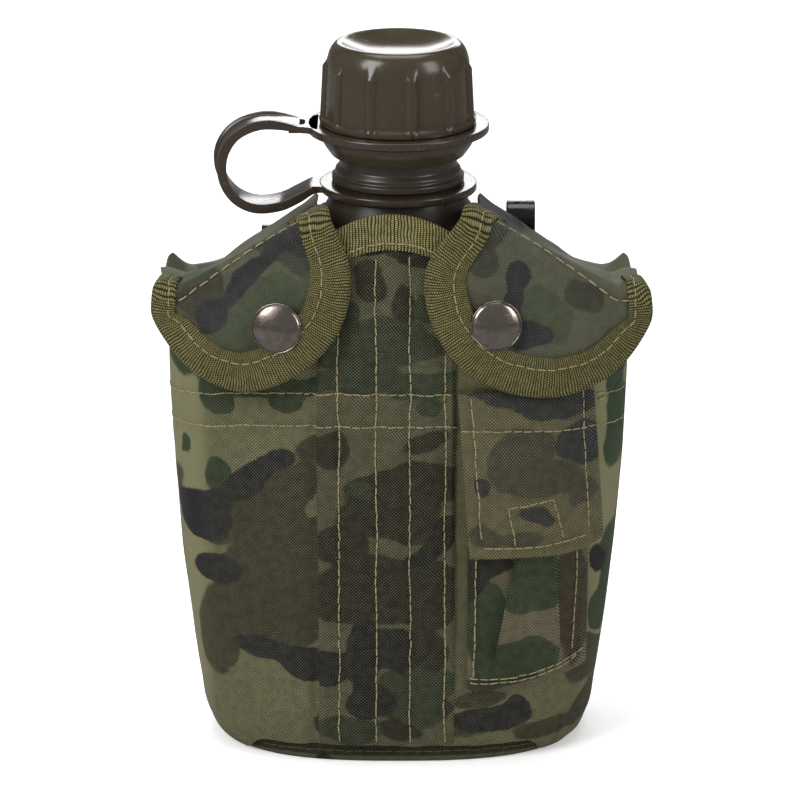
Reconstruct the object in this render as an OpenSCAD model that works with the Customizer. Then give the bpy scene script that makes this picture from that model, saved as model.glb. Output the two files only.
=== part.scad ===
// A one-litre field canteen in its belt cover.
// The frame: +X to the wearer's left of the front face, -Y the front, +Z up, origin at the centre of the
// cover's flat underside. The neck, the tether rings and the screw cap all turn about the Z axis.

/* [Cover] */
// Half the width of the cover at its widest
cover_half_w = 71.5; // [68:0.5:74]
// How far the front of the cover bulges from the neck axis
cover_front = 37.5; // [36:0.5:39]
// How far the back of the cover lies from the neck axis
cover_back = 29; // [28:0.5:31]
// Thickness of the nylon cloth
cloth_t = 1.2; // [0.8:0.1:1.3]
// How far the back is hollowed to sit on the hip
hip_hollow = 6; // [0:1:8]
// Width of the folded binding tape on each face
binding_w = 12.5; // [10:0.5:13]

/* [Bottle] */
// Outer radius of the neck between the cap and the tether
neck_r = 18.2; // [17.8:0.1:18.4]
// Radius of the drinking mouth
mouth_r = 14.5; // [12:0.5:15]
// Wall of the blow-moulded bottle
wall_t = 1.6; // [1.2:0.1:2]

/* [Cap] */
// Height of the rim of the cap above the underside
cap_top = 224.8; // [223:0.1:227]
// Radius of the cap over its grip ribs
cap_r = 24; // [23.6:0.1:24.2]
// Number of grip ribs
rib_count = 11; // [8:1:14]
// Rise of the thread in one turn
thread_pitch = 6; // [5:0.5:7]

/* [Snap fasteners] */
// Radius of the domed snap caps
snap_r = 7.8; // [7:0.1:8.5]

/* [Belt clips] */
// Distance of each clip from the middle
clip_x = 39; // [36:1:42]
// Width of the clip's steel strip
clip_w = 9; // [8:0.5:11]
// Gap for the belt between the clip's two legs
belt_gap = 8; // [6:0.5:9]

/* [Hidden] */
$fn = 96;

square_n = 2.6;          // squareness of the cover's cross-section
inset = 2.2;             // gap from the cover's outer face to the bottle
ground_clear = 0.1;      // clearance between layers of cloth that only lie on each other
lobe_gap = 4;            // how far the flap's inside stands off the front panel
lobe_half_w = 81;        // half-width of the curved sheet that the two flaps are bent to
ridge_in = [22, 178.5];  // inner end of the stitched ridge where a flap folds, as x and z
ridge_out = [70, 150.5]; // outer end of the same ridge
seam_z = 6.3;            // height of the seam between the front panel and the base
olive = "#4b4a2f";
webbing = "#7a7340";
plastic = "#4a4238";

// ---- helpers ----

function spow(v, p) = sign(v) * pow(abs(v), p);
function mix(a, b, t) = a + (b - a) * t;
function unit(v) = v / norm(v);

// Catmull-Rom point at u from 0 to 1 along a list of points
function spline(pts, u) =
    let (n = len(pts) - 1, s = min(u * n, n - 0.0001), i = floor(s), t = s - i,
         p0 = pts[max(i - 1, 0)], p1 = pts[i], p2 = pts[i + 1], p3 = pts[min(i + 2, n)])
    0.5 * (2 * p1 + (p2 - p0) * t + (2 * p0 - 5 * p1 + 4 * p2 - p3) * t * t
           + (3 * p1 - p0 - 3 * p2 + p3) * t * t * t);

// A closed solid between two grids of points that have the same rows and columns
module sheet(front, back) {
    rows = len(front);
    cols = len(front[0]);
    count = rows * cols;
    function at(r, c) = r * cols + c;
    edge = concat([for (c = [0 : cols - 2]) at(0, c)], [for (r = [0 : rows - 2]) at(r, cols - 1)],
                  [for (c = [cols - 1 : -1 : 1]) at(rows - 1, c)], [for (r = [rows - 1 : -1 : 1]) at(r, 0)]);
    skin = [for (r = [0 : rows - 2]) for (c = [0 : cols - 2])
            each [[at(r, c), at(r + 1, c), at(r, c + 1)], [at(r, c + 1), at(r + 1, c), at(r + 1, c + 1)]]];
    rim = [for (i = [0 : len(edge) - 1]) let (p = edge[i], q = edge[(i + 1) % len(edge)])
           each [[p, q, q + count], [p, q + count, p + count]]];
    faces = concat(skin, [for (f = skin) [f[2] + count, f[1] + count, f[0] + count]], rim);
    polyhedron(concat([for (row = front) each row], [for (row = back) each row]), faces, 8);
}

// A closed solid through rings of points, the first and last ring capped
module rings(list) {
    n = len(list[0]);
    last = (len(list) - 1) * n;
    sides = [for (k = [0 : len(list) - 2]) for (i = [0 : n - 1]) let (j = (i + 1) % n)
             each [[k * n + i, (k + 1) * n + i, k * n + j], [k * n + j, (k + 1) * n + i, (k + 1) * n + j]]];
    caps = [[for (i = [0 : n - 1]) i], [for (i = [n - 1 : -1 : 0]) last + i]];
    polyhedron([for (r = list) each r], concat(sides, caps), 8);
}

module mirrored(side) {
    if (side < 0) mirror([1, 0, 0]) children();
    else children();
}

// ---- the cover's own shape ----

// Half-width, front and back distance of the cover's outer face at height z
function half_w(z) = cover_half_w + lookup(z, [[0, -16.5], [3, -13], [7, -11], [20, -8.5], [42, -5.5],
                                               [76, -2.3], [109, -0.4], [130, 0], [150, -1.5], [178, -5]]);
function front_y(z) = cover_front + lookup(z, [[0, -3.5], [7, -2.2], [30, -0.8], [76, 0.5], [110, 0],
                                               [124, -0.6], [150, -3], [165, -5.5], [178, -8]]);
function back_y(z) = cover_back + lookup(z, [[0, -3], [7, -1.5], [30, 0], [120, 0], [150, -1], [178, -4]]);

// Point of the cross-section at angle a from the front, off outside the outer face
function body_pt(a, z, off) =
    let (w = half_w(z) + off, p = 2 / square_n, x = w * spow(sin(a), p),
         hollow = abs(a) > 90 ? hip_hollow * pow(max(0, 1 - pow(x / w, 2)), 2) : 0,
         y = cos(a) > 0 ? -(front_y(z) + off) * spow(cos(a), p) : -(back_y(z) + off) * spow(cos(a), p) - hollow)
    [x, y, z];
// Distance of the front face from the neck axis at x and z
function face_y(x, z) = front_y(z) * pow(max(0.01, 1 - pow(abs(x) / half_w(z), square_n)), 1 / square_n);
// Distance of the inside of a flap from the neck axis at x and z
function lobe_y(x, z) = (front_y(z) + lobe_gap) * pow(max(0.01, 1 - pow(abs(x) / lobe_half_w, square_n)), 1 / square_n);
function along_ridge(x) = (abs(x) - ridge_in[0]) / (ridge_out[0] - ridge_in[0]);
function ridge_z(x) = mix(ridge_in[1], ridge_out[1], along_ridge(x));
// The fold itself is straight, so the flap turns about one line
function ridge_y(x) = mix(lobe_y(ridge_in[0], ridge_in[1]), lobe_y(ridge_out[0], ridge_out[1]), along_ridge(x));
function front_top(x) = max(176.5 - 0.017 * pow(x + 2, 2), min(168, ridge_z(x) - 8));
function back_top(x) = min(168, ridge_z(x) - 9 - 6 * pow(max(0, along_ridge(x)), 2));

// A cloth panel of the cover between two angles, from z0 up to the top line
module panel(a0, a1, cols, rows, z0, top) {
    angles = [for (i = [0 : cols]) mix(a0, a1, i / cols)];
    function grid(off) = [for (r = [0 : rows]) [for (a = angles)
        let (x = body_pt(a, 140, 0)[0], zt = top == "front" ? front_top(x) : back_top(x))
        body_pt(a, mix(z0, zt, r / rows), off)]];
    sheet(grid(0), grid(-cloth_t));
}

// A sheet of cloth on the front face: a grid of [x, z] points between two offsets from the face
module face_sheet(grid, low, high) {
    sheet([for (row = grid) [for (p = row) [p[0], -face_y(p[0], p[1]) - high, p[1]]]],
          [for (row = grid) [for (p = row) [p[0], -face_y(p[0], p[1]) - low, p[1]]]]);
}

module front_panel() { color(olive) panel(-84, 84, 22, 12, seam_z, "front"); }
module back_panel() { color(olive) panel(128, 232, 14, 8, seam_z, "back"); }
module side_gusset(side) { color(olive) mirrored(side) panel(84.6, 127.4, 5, 8, seam_z, "back"); }

// The base is a shallow tray with a rounded lower edge
base_angles = [for (i = [0 : 39]) 360 * i / 40];
module base_panel() {
    function loop(z, off) = [for (a = base_angles) body_pt(a > 180 ? a - 360 : a, z, off)];
    function lift(loop, z) = [for (p = loop) [p[0], p[1], z]];
    color(olive) difference() {
        rings([lift(loop(0, 0), 0), loop(3, 0), loop(6, 0), loop(6, -cloth_t), loop(3, -cloth_t),
               lift(loop(0, -cloth_t), 1.5)]);
        translate([0, 0, -1]) cylinder(r = 4.5, h = 4);
    }
}
module drain_eyelet() {
    color("goldenrod") rotate_extrude()
        polygon([[2.5, 0.1], [4.4, 0.1], [4.4, 1.6], [6, 1.6], [5.4, 2], [3, 2], [2.5, 1.6]]);
}

// ---- the bottle ----

dome_r = 21;             // radius where the shoulders meet the neck
dome_z = 177.2;          // height of that circle
mouth_z = 212;           // height of the mouth's rim
thread_core = 17.2;      // radius under the neck's thread
thread_h = 1.3;          // height of the neck's thread
// Shoulder rings: height, half-width, front, back, squareness, hollow
shoulder = [[140.5, 62, 30.5, 22.5, 2.5, 3.5], [148, 52, 28, 20.5, 2.4, 2.5], [156.5, 40, 25.5, 19, 2.2, 1],
    [165.5, 29, 23.5, 18.6, 2.1, 0.2], [173, 22.8, 21.8, 20.6, 2, 0], [177.2, 21, 21, 21, 2, 0]];
bottle_angles = [for (i = [0 : 43]) 360 * i / 44];

function ring_pt(a, s, off) =
    let (p = 2 / s[4], w = s[1] + off, x = w * spow(sin(a), p),
         y = cos(a) > 0 ? -(s[2] + off) * spow(cos(a), p)
                        : -(s[3] + off) * spow(cos(a), p) - s[5] * pow(max(0, 1 - pow(x / w, 2)), 2))
    [x, y, s[0]];
function bottle_ring(z, off) = [for (a = bottle_angles) body_pt(a > 180 ? a - 360 : a, z, -inset + off)];
function shoulder_ring(s, off, drop) = [for (a = bottle_angles) ring_pt(a, s, off) - [0, 0, drop]];
function circle_ring(r, z) = [for (a = bottle_angles) [r * sin(a), -r * cos(a), z]];
function at_z(loop, z) = [for (p = loop) [p[0], p[1], z]];

// One turn and a half of thread: a ridge that leans on a cylinder of radius r, outward or inward
module helix(r, height, z0, turns, root, crest) {
    steps = 22;
    n = ceil(turns * steps);
    fade = 4;
    function ring(i) = let (a = i * 360 / steps, z = z0 + thread_pitch * i / steps,
                            k = min(1, (i + 0.2) / fade, (n - i + 0.2) / fade), d = height * k,
                            u = [cos(a), sin(a), 0])
        [u * r - [0, 0, root / 2 - z], u * (r + d) - [0, 0, crest / 2 - z],
         u * (r + d) + [0, 0, crest / 2 + z], u * r + [0, 0, root / 2 + z]];
    rings(height < 0 ? [for (i = [0 : n]) ring(i)] : [for (i = [n : -1 : 0]) ring(i)]);
}

// The hollow body: up the outside, in to the foot of the neck, and down the inside
module bottle() {
    levels = [28, 50, 80, 110, 132];
    last = len(levels) - 1;
    color(plastic) rings(concat(
        [at_z(bottle_ring(2, -6), 2.4), bottle_ring(4, -1), bottle_ring(10, 0)],
        [for (z = levels) bottle_ring(z, 0)],
        [for (s = shoulder) shoulder_ring(s, 0, 0)],
        [circle_ring(mouth_r, dome_z), circle_ring(mouth_r, dome_z - 3)],
        [for (k = [len(shoulder) - 3 : -1 : 0]) shoulder_ring(shoulder[k], -wall_t, 1.5)],
        [for (k = [last : -1 : 0]) bottle_ring(levels[k], -wall_t)],
        [bottle_ring(10, -wall_t - 1), at_z(bottle_ring(4, -4 - wall_t), 4)]));
}
// The neck with its groove for the tether, its bead and its thread
module bottle_neck() {
    color(plastic) {
        rotate_extrude()
            polygon([[mouth_r, dome_z], [19.6, dome_z], [19.6, 181.2], [20.4, 181.4], [20.4, 183.2],
                     [19.4, 183.8], [19.4, 185], [neck_r, 186.4], [neck_r, 189.8], [thread_core, 190.8],
                     [thread_core, mouth_z - 0.8], [thread_core - 0.8, mouth_z], [mouth_r, mouth_z]]);
        helix(thread_core - 0.3, thread_h + 0.3, 194, 1.6, 2.6, 1.2);
    }
}

// ---- cap, gasket and tether ----

cap_foot = 189.9;        // lowest edge of the cap's skirt
cap_bore = 19.3;         // radius inside the cap's thread
ring_t = 2.4;            // thickness of both tether rings
cap_ring_z = 196.9;      // underside of the ring that holds the cap
neck_ring_z = 178.3;     // underside of the ring that holds the neck
band_w = 13;             // width of the band that joins the two rings
band_t = 2;              // thickness of the same band

module cap() {
    body_r = cap_r - 1.3;
    color(plastic) {
        rotate_extrude() polygon([[0, 215], [cap_bore, 215], [cap_bore, cap_foot], [20.7, cap_foot],
            [22.6, 192.6], [23.2, 193.8], [23.2, 195.6], [22.6, 196.2], [22.6, 199.5], [cap_r, 199.6],
            [cap_r, 201.2], [body_r, 202], [body_r - 0.8, 217.5], [21.2, 221.4], [19.6, 223.8],
            [18.2, cap_top], [17, cap_top - 0.3], [10, cap_top - 3], [0, cap_top - 3.6]]);
        for (i = [0 : rib_count - 1]) rotate((i + 0.333) * 360 / rib_count)
            translate([0, -body_r + 0.9, 201]) rotate([-2, 0, 0]) {
                cylinder(r = 1.9, h = 16.5);
                translate([0, 0, 16.5]) sphere(r = 1.9);
            }
        helix(cap_bore + 0.3, -1.8, 197, 1.5, 2.4, 1);
    }
}
module cap_gasket() {
    color("#22201d") rotate_extrude()
        polygon([[0, 212.8], [13, 212.8], [13, mouth_z + 0.2], [18.6, mouth_z + 0.2], [18.6, 214.7], [0, 214.7]]);
}
module tether_cap_ring() {
    color(plastic) difference() {
        union() {
            translate([0, 0, cap_ring_z]) cylinder(r = 28, h = ring_t);
            translate([-31, -band_w / 2, cap_ring_z]) cube([8, band_w, ring_t]);
        }
        translate([0, 0, cap_ring_z - 1]) cylinder(r = 22.9, h = ring_t + 2);
    }
}
module tether_neck_ring() {
    color(plastic) difference() {
        union() {
            translate([0, 0, neck_ring_z]) cylinder(r = 24.3, h = ring_t);
            translate([-27, -band_w / 2, neck_ring_z]) cube([6, band_w, ring_t]);
        }
        translate([0, 0, neck_ring_z - 1]) cylinder(r = 19.9, h = ring_t + 2);
    }
}
// Middle line of the band, as x and z, from the cap's ring round to the neck's ring
band_line = [[-31, 198.1], [-36, 199], [-43, 198.6], [-50, 195.2], [-54.2, 189], [-54.4, 182], [-50.6, 175.6],
             [-44, 172.4], [-36.5, 173.4], [-31, 176.6], [-27, 179.5]];
module tether_band() {
    steps = 36;
    line = [for (i = [0 : steps]) spline(band_line, i / steps)];
    function normal(i) = let (d = i == 0 || i == steps ? [(i == 0 ? -1 : 1), 0]
        : unit(line[min(i + 1, steps)] - line[max(i - 1, 0)])) [d[1], -d[0]];
    function side(k) = [for (i = [0 : steps]) line[i] + normal(i) * k];
    function back(list) = [for (i = [len(list) - 1 : -1 : 0]) list[i]];
    color(plastic) rotate([90, 0, 0]) {
        translate([0, 0, -band_w / 2]) linear_extrude(band_w)
            polygon(concat(side(-band_t / 2), back(side(band_t / 2))));
        for (z = [-band_w / 2, band_w / 2 - 1.4]) translate([0, 0, z]) linear_extrude(1.4)
            polygon(concat([for (i = [4 : steps - 4]) side(-band_t / 2 - 0.9)[i]],
                           back([for (i = [4 : steps - 4]) side(0)[i]])));
    }
}

// ---- flaps ----

// Outlines of the two flaps, as distance from the middle and height, from the inner end of the ridge
outline_left = [[20.9, 177.6], [15.4, 166], [15, 155], [19.5, 142.5], [31, 131], [47, 125], [62, 129.5],
                [71.5, 138.5], [75.2, 145.6]];
outline_right = [[19.8, 177.9], [9.6, 166], [8.8, 154], [13.5, 141], [26, 128.5], [46, 123.4], [62, 126.8],
                 [73, 135], [77.6, 144]];
function outline(side) = side < 0 ? outline_left : outline_right;

// Point on a flap at x and z, off outside its inner face
function lobe_pt(x, z, off) =
    let (t = max(0, min(1, (ridge_z(x) - z) / 20)), ease = t * t * (3 - 2 * t))
    [x, -mix(ridge_y(x), lobe_y(x, z), ease) - off, z];

module flap(side) {
    rows = 7;
    cols = 14;
    edge = outline(side);
    function grid(off) = [for (r = [0 : rows]) [for (c = [0 : cols])
        let (t = c / cols, x = mix(22.5, edge[8][0] - 3, t), top = [x, ridge_z(x) - 0.5],
             low = spline(edge, mix(0.08, 0.94, t)), p = mix(top, low + unit([46, 152] - low) * 1.5, r / rows))
        lobe_pt(p[0], p[1], off)]];
    color(olive) mirrored(side) sheet(grid(cloth_t), grid(0));
}

// The tape folded over a flap's free edge: an outer face, an inner face and the fold between them
module flap_binding(side) {
    n = 40;
    edge = outline(side);
    function on(i) = spline(edge, i / n);
    function inward(i) = let (d = unit(on(min(i + 1, n)) - on(max(i - 1, 0)))) [-d[1], d[0]];
    function at(i, q, off) = let (p = on(i) + inward(i) * q) lobe_pt(p[0], p[1], off);
    w = [for (i = [0 : n]) binding_w * (0.72 + 0.28 * sin(180 * pow(i / n, 0.8)))];
    color(webbing) mirrored(side) rings([for (i = [0 : n])
        [at(i, 0, -0.9), at(i, w[i], -0.9), at(i, w[i], -0.1), at(i, 0.8, -0.1),
         at(i, 0.8, cloth_t + 0.1), at(i, w[i], cloth_t + 0.1), at(i, w[i], cloth_t + 0.9), at(i, 0, cloth_t + 0.9)]]);
}

// The fixed rear part of a flap, from the ridge over the bottle's shoulder and down the back panel
module flap_shoulder(side) {
    cols = 10;
    outer = [71, 72, 73, 73.4, 73, 71, 68.5, 66, 64.5];
    // one row of the sheet at x, a share of the way back, off outside its inner face
    function point(x, row, off) =
        let (t = max(0, along_ridge(x)), zr = ridge_z(x), zb = back_top(x), yb = back_face(x, zb) + 0.8,
             dip = 4.2 + 13 * t - 5 * t * t - 7 * pow(max(0, 2 * t - 1), 1.5), lump = 6 * pow(t, 5))
        row == 0 ? [x, -ridge_y(x) + 0.6, zr - 0.9 + off] :
        row == 1 ? [x, -ridge_y(x) + 4, zr - 0.3 - 0.4 * t + off] :
        row == 2 ? [x, -14, zr - 0.8 * dip + off] :
        row == 3 ? [x, -4, zr - dip + off] :
        row == 4 ? [x, 6, zr - dip - 0.4 + lump + off] :
        row == 5 ? [x, mix(6, yb, 0.55), max(zr - dip - 1.2 + lump, zb + 0.8) + off] :
        row == 6 ? [x, yb + off * 0.9, max(zr - dip - 2 + lump * 0.6, zb + 1) + off * 0.6] :
        row == 7 ? [x, yb + off, zb - 3] : [x, back_face(x, zb - 14) + 0.8 + off, zb - 14];
    function grid(off) = [for (r = [0 : 8]) [for (c = [0 : cols])
        point(mix(r == 0 ? 23 : 25.6, outer[r], c / cols), r, off)]];
    color(olive) mirrored(side) sheet(grid(cloth_t), grid(0));
}

// ---- binding of the collar, and the stitched strip down the front ----

strip_x = [-24.7, 17.6];   // left and right edge of the strip
module front_strip() {
    rows = 16;
    cols = 10;
    color(olive) face_sheet([for (r = [0 : rows]) [for (c = [0 : cols])
        let (x = mix(strip_x[0], strip_x[1], c / cols)) [x, mix(front_top(x) - 7.5, 7, r / rows)]]],
        ground_clear, 1.1);
}
module collar_binding() {
    n = 14;
    function at(i, q, off) = let (x = mix(-20, 17, i / n), z = front_top(x) - q + 1) [x, -face_y(x, z) - off, z];
    color(webbing) rings([for (i = [0 : n])
        [at(i, 0, 1.2), at(i, 8, 1.2), at(i, 8, 0.15), at(i, 0.8, 0.15),
         at(i, 0.8, -cloth_t - 0.1), at(i, 5, -cloth_t - 0.1), at(i, 5, -cloth_t - 0.6), at(i, 0, -cloth_t - 0.6)]]);
}

// ---- snap fasteners ----

snap_at = [[-35.7, 144.4], [29, 145.5]];
// Puts children with +Z along the outward normal of the front panel at a snap
module at_snap(side) {
    p = snap_at[side < 0 ? 0 : 1];
    lean = atan((face_y(p[0], p[1] - 4) - face_y(p[0], p[1] + 4)) / 8);
    turn = atan((face_y(p[0] - 4, p[1]) - face_y(p[0] + 4, p[1])) / 8);
    translate([p[0], -face_y(p[0], p[1]), p[1]]) rotate([0, 0, turn]) rotate([90 - lean, 0, 0]) children();
}
// Distance along that normal to the flap's inner face
function snap_gap(side) = let (p = snap_at[side < 0 ? 0 : 1])
    (lobe_y(p[0], p[1]) - face_y(p[0], p[1])) * 0.985;
module snap_cap(side) {
    color("#6b6257") at_snap(side) translate([0, 0, snap_gap(side) + cloth_t - 0.1]) rotate_extrude()
        polygon([[0, 0], [snap_r - 0.5, 0], [snap_r, 0.5], [snap_r, 0.9], [snap_r - 0.6, 1.4], [5.6, 2.1],
                 [3, 2.5], [0, 2.6]]);
}
module snap_socket(side) {
    color("#8d857a") at_snap(side) translate([0, 0, snap_gap(side) - 2]) rotate_extrude()
        polygon([[3.6, 0], [5.6, 0], [6.2, 0.5], [6.2, 2.1], [0, 2.1], [0, 1.4], [3.6, 1.4]]);
}
module snap_stud(side) {
    color("#8d857a") at_snap(side) rotate_extrude()
        polygon([[0, -0.1], [5.2, -0.1], [5.2, 0.7], [3, 1], [2.7, 1.5], [2.7, 2.3], [3, 2.6], [2.8, 3.1],
                 [2.2, 3.3], [0, 3.3]]);
}
module snap_post(side) {
    color("#8d857a") at_snap(side) translate([0, 0, -cloth_t - 0.6]) rotate_extrude()
        polygon([[0, 0], [4.6, 0], [4.9, 0.7], [0, 0.7]]);
}

// ---- the small pouch on the front ----

pouch_x = [21.5, 59.3];
pouch_z = [26.5, 96];
hinge_z = 113.5;
// How far the pouch's outer face stands off the front panel at a share u across and height z
function swell(u, z) = let (v = (z - pouch_z[0]) / (pouch_z[1] - pouch_z[0]))
    1.4 + 6.6 * pow(max(0, sin(180 * max(0, min(1, u)))), 0.5) * pow(max(0, sin(90 * max(0, min(1, v * 2.5)))), 0.7);
module pouch() {
    rows = 8;
    cols = 12;
    function grid(low) = [for (r = [0 : rows]) [for (c = [0 : cols])
        let (u = c / cols, x = mix(pouch_x[0], pouch_x[1], u), z = mix(pouch_z[0] + 3.4 * u, pouch_z[1], r / rows))
        [x, -face_y(x, z) - swell(u, z) + low, z]]];
    color(olive) sheet(grid(1), grid(0));
}
// The pouch flap: u across from 0 to 1, z its height, off outside its inner face
function pouch_flap_pt(u, z, off) =
    let (drop = (124 - z) / 50, x = mix(mix(18.2, 21.8, drop), mix(60, 64, drop), u), in_u = 0.5 + (u - 0.5) * 1.1,
         near = max(0, min(1, (124 - z) / 26)), rest = mix(1.3, swell(0.5 + (in_u - 0.5) * 0.82, 80) + 1.6, near))
    [x, -face_y(min(x, 62), z) - rest - off, z];
module pouch_flap() {
    rows = 6;
    cols = 8;
    function grid(off) = [for (r = [0 : rows]) [for (c = [0 : cols])
        pouch_flap_pt(c / cols, mix(hinge_z - 0.5, 73 + 0.6 * c / cols, r / rows), off)]];
    color(olive) sheet(grid(cloth_t), grid(0));
}
module pouch_flap_seam() {
    rows = 2;
    cols = 8;
    function grid(off) = [for (r = [0 : rows]) [for (c = [0 : cols])
        pouch_flap_pt(c / cols, mix(124, hinge_z + 0.5, r / rows), off)]];
    color(olive) sheet(grid(cloth_t), grid(-1));
}
// A patch of hook or loop tape between two offsets from the pouch's outer face
module patch(x0, x1, z0, z1, low, high) {
    function grid(off) = [for (r = [0 : 3]) [for (c = [0 : 3])
        let (x = mix(x0, x1, c / 3), z = mix(z1, z0, r / 3), u = (x - pouch_x[0]) / (pouch_x[1] - pouch_x[0]))
        [x, -face_y(x, z) - swell(u, z) - off, z]]];
    color("#1c1c18") sheet(grid(high), grid(low));
}

// ---- the back: webbing bands and belt clips ----

leg_t = 1.4;             // thickness of the clip's steel
leg_gap = 2.4;           // gap from the back panel to the clip's inner leg
clip_reach = 70;         // height of a clip
clip_drop = 8;           // how much lower the left clip hangs in its bands
function back_face(x, z) = let (w = half_w(z), p = pow(max(0, 1 - pow(abs(x) / w, square_n)), 1 / square_n))
    back_y(z) * p - hip_hollow * pow(1 - pow(x / w, 2), 2);
clip_y = back_face(clip_x, 120) + leg_gap;
// A webbing band across the back that bulges over each clip's inner leg
module back_band(z0, z1) {
    cols = 44;
    bulge = leg_t + leg_gap + 1.2;
    function lift(x) = let (d = abs(abs(x) - clip_x)) mix(bulge, 0.15, max(0, min(1, (d - clip_w / 2 - 1.5) / 3.5)));
    function grid(off) = [for (z = [z0, (z0 + z1) / 2, z1]) [for (c = [0 : cols])
        let (x = mix(60, -60, c / cols)) [x, back_face(x, z) + lift(x) + off, z]]];
    color(webbing) sheet(grid(1.3), grid(0));
}
module clip(side) {
    top = 166.5 - (side < 0 ? clip_drop : 0);
    bend = belt_gap / 2 + leg_t + 0.8;
    color("#111111") mirrored(side) translate([clip_x, clip_y, top - bend]) {
        translate([-clip_w / 2, 0, bend - clip_reach]) cube([clip_w, leg_t, clip_reach - bend]);
        translate([-clip_w / 2, belt_gap + leg_t, 14 - clip_reach]) cube([clip_w, leg_t, clip_reach - 14]);
        translate([0, leg_t + belt_gap / 2, 0]) rotate([90, 0, 90]) linear_extrude(clip_w, center = true)
            difference() {
                circle(r = belt_gap / 2 + leg_t);
                circle(r = belt_gap / 2);
                translate([-20, -40]) square(40);
            }
        // foot that joins the inner leg to the tongue that the slide locks
        translate([-clip_w / 2, leg_t, bend - clip_reach]) cube([clip_w, belt_gap, leg_t]);
        translate([-clip_w / 2, belt_gap + leg_t, bend - clip_reach]) cube([clip_w, leg_t, 6]);
    }
}
slide_h = 9;             // height of the sliding lock
slide_wall = 1;          // wall of the same lock
slide_clear = 0.25;      // its running clearance
module clip_slide(side) {
    top = 166.5 - (side < 0 ? clip_drop : 0);
    bend = belt_gap / 2 + leg_t + 0.8;
    w = clip_w + 2 * (slide_clear + slide_wall);
    t = leg_t + 2 * (slide_clear + slide_wall);
    foot = top - clip_reach + leg_t + 0.4;
    color("#111111") mirrored(side) translate([clip_x, clip_y + belt_gap + leg_t * 1.5, foot]) difference() {
        translate([-w / 2, -t / 2, 0]) cube([w, t, slide_h]);
        translate([-w / 2 + slide_wall, -t / 2 + slide_wall, -1])
            cube([w - 2 * slide_wall, t - 2 * slide_wall, slide_h + 2]);
    }
}

bottle();
bottle_neck();
front_panel();
back_panel();
side_gusset(-1);  // side_gusset_left
side_gusset(1);  // side_gusset_right
base_panel();
drain_eyelet();
front_strip();
collar_binding();
flap_shoulder(-1);  // flap_shoulder_left
flap_shoulder(1);  // flap_shoulder_right
flap(-1);  // flap_left
flap(1);  // flap_right
flap_binding(-1);  // flap_binding_left
flap_binding(1);  // flap_binding_right
snap_cap(-1);  // snap_cap_left
snap_cap(1);  // snap_cap_right
snap_socket(-1);  // snap_socket_left
snap_socket(1);  // snap_socket_right
snap_stud(-1);  // snap_stud_left
snap_stud(1);  // snap_stud_right
snap_post(-1);  // snap_post_left
snap_post(1);  // snap_post_right
pouch();
patch(34.5, 50, 76, 91, 0.25, 0.65);  // pouch_loop_patch
pouch_flap_seam();
pouch_flap();
patch(35, 49.5, 76.5, 90.5, 0.7, 1.2);  // pouch_hook_patch
back_band(117, 131);  // back_band_upper
back_band(98, 109);  // back_band_lower
clip(-1);  // clip_left
clip(1);  // clip_right
clip_slide(-1);  // clip_slide_left
clip_slide(1);  // clip_slide_right
tether_neck_ring();
tether_band();
tether_cap_ring();
cap_gasket();
cap();
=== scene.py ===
"""A one-litre field canteen in its camouflage belt cover: shapes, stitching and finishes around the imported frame."""

import logging
import math
from dataclasses import dataclass, field
from enum import Enum
from typing import Callable, Sequence

import bmesh
import bpy
import numpy as np
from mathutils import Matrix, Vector


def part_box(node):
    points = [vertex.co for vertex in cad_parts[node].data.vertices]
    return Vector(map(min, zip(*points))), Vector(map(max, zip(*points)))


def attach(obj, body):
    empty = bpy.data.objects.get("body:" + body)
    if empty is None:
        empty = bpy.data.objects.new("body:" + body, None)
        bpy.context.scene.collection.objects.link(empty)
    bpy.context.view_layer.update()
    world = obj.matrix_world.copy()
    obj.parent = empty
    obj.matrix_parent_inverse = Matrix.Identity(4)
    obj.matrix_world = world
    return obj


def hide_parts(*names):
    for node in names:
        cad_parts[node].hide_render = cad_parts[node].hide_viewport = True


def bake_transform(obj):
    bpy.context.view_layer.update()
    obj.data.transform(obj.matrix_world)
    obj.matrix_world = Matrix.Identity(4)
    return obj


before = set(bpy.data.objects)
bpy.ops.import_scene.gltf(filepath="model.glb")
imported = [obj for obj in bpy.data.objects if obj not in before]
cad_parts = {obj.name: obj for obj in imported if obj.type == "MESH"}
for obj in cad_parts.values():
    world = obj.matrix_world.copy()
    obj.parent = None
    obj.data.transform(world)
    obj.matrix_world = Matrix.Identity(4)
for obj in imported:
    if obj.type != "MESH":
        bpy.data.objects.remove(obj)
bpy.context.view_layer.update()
LOG = logging.getLogger("canteen")
Array = np.ndarray
Point = tuple[float, float]
Blot = tuple[str, float, float, float, float, float]
MM = 0.001


class Side(Enum):
    """The two halves of the cover, as the sign of X."""

    LEFT = -1
    RIGHT = 1

    @property
    def word(self) -> str:
        """The side's name as the CAD nodes spell it."""
        return self.name.lower()


# ---- numbers ----


def srgb(red: float, green: float, blue: float) -> tuple[float, float, float, float]:
    """Turns a display colour of 0 to 255 a channel into a linear RGBA colour.

    Args:
        red: Red, 0 to 255.
        green: Green, 0 to 255.
        blue: Blue, 0 to 255.

    Returns:
        The linear colour with full alpha.
    """
    channels = (red, green, blue)
    return tuple(((c / 255 + 0.055) / 1.055) ** 2.4 if c > 10.3 else c / 255 / 12.92 for c in channels) + (1.0,)


def ease(t: Array) -> Array:
    """Smoothstep of t, held between 0 and 1."""
    t = np.clip(t, 0, 1)
    return t * t * (3 - 2 * t)


def mix(a: Array, b: Array, t: Array) -> Array:
    """The value a share t of the way from a to b."""
    return a + (b - a) * t


def signed_power(v: Array, p: float) -> Array:
    """The power p of v, with v's sign."""
    return np.sign(v) * np.abs(v) ** p


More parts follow.
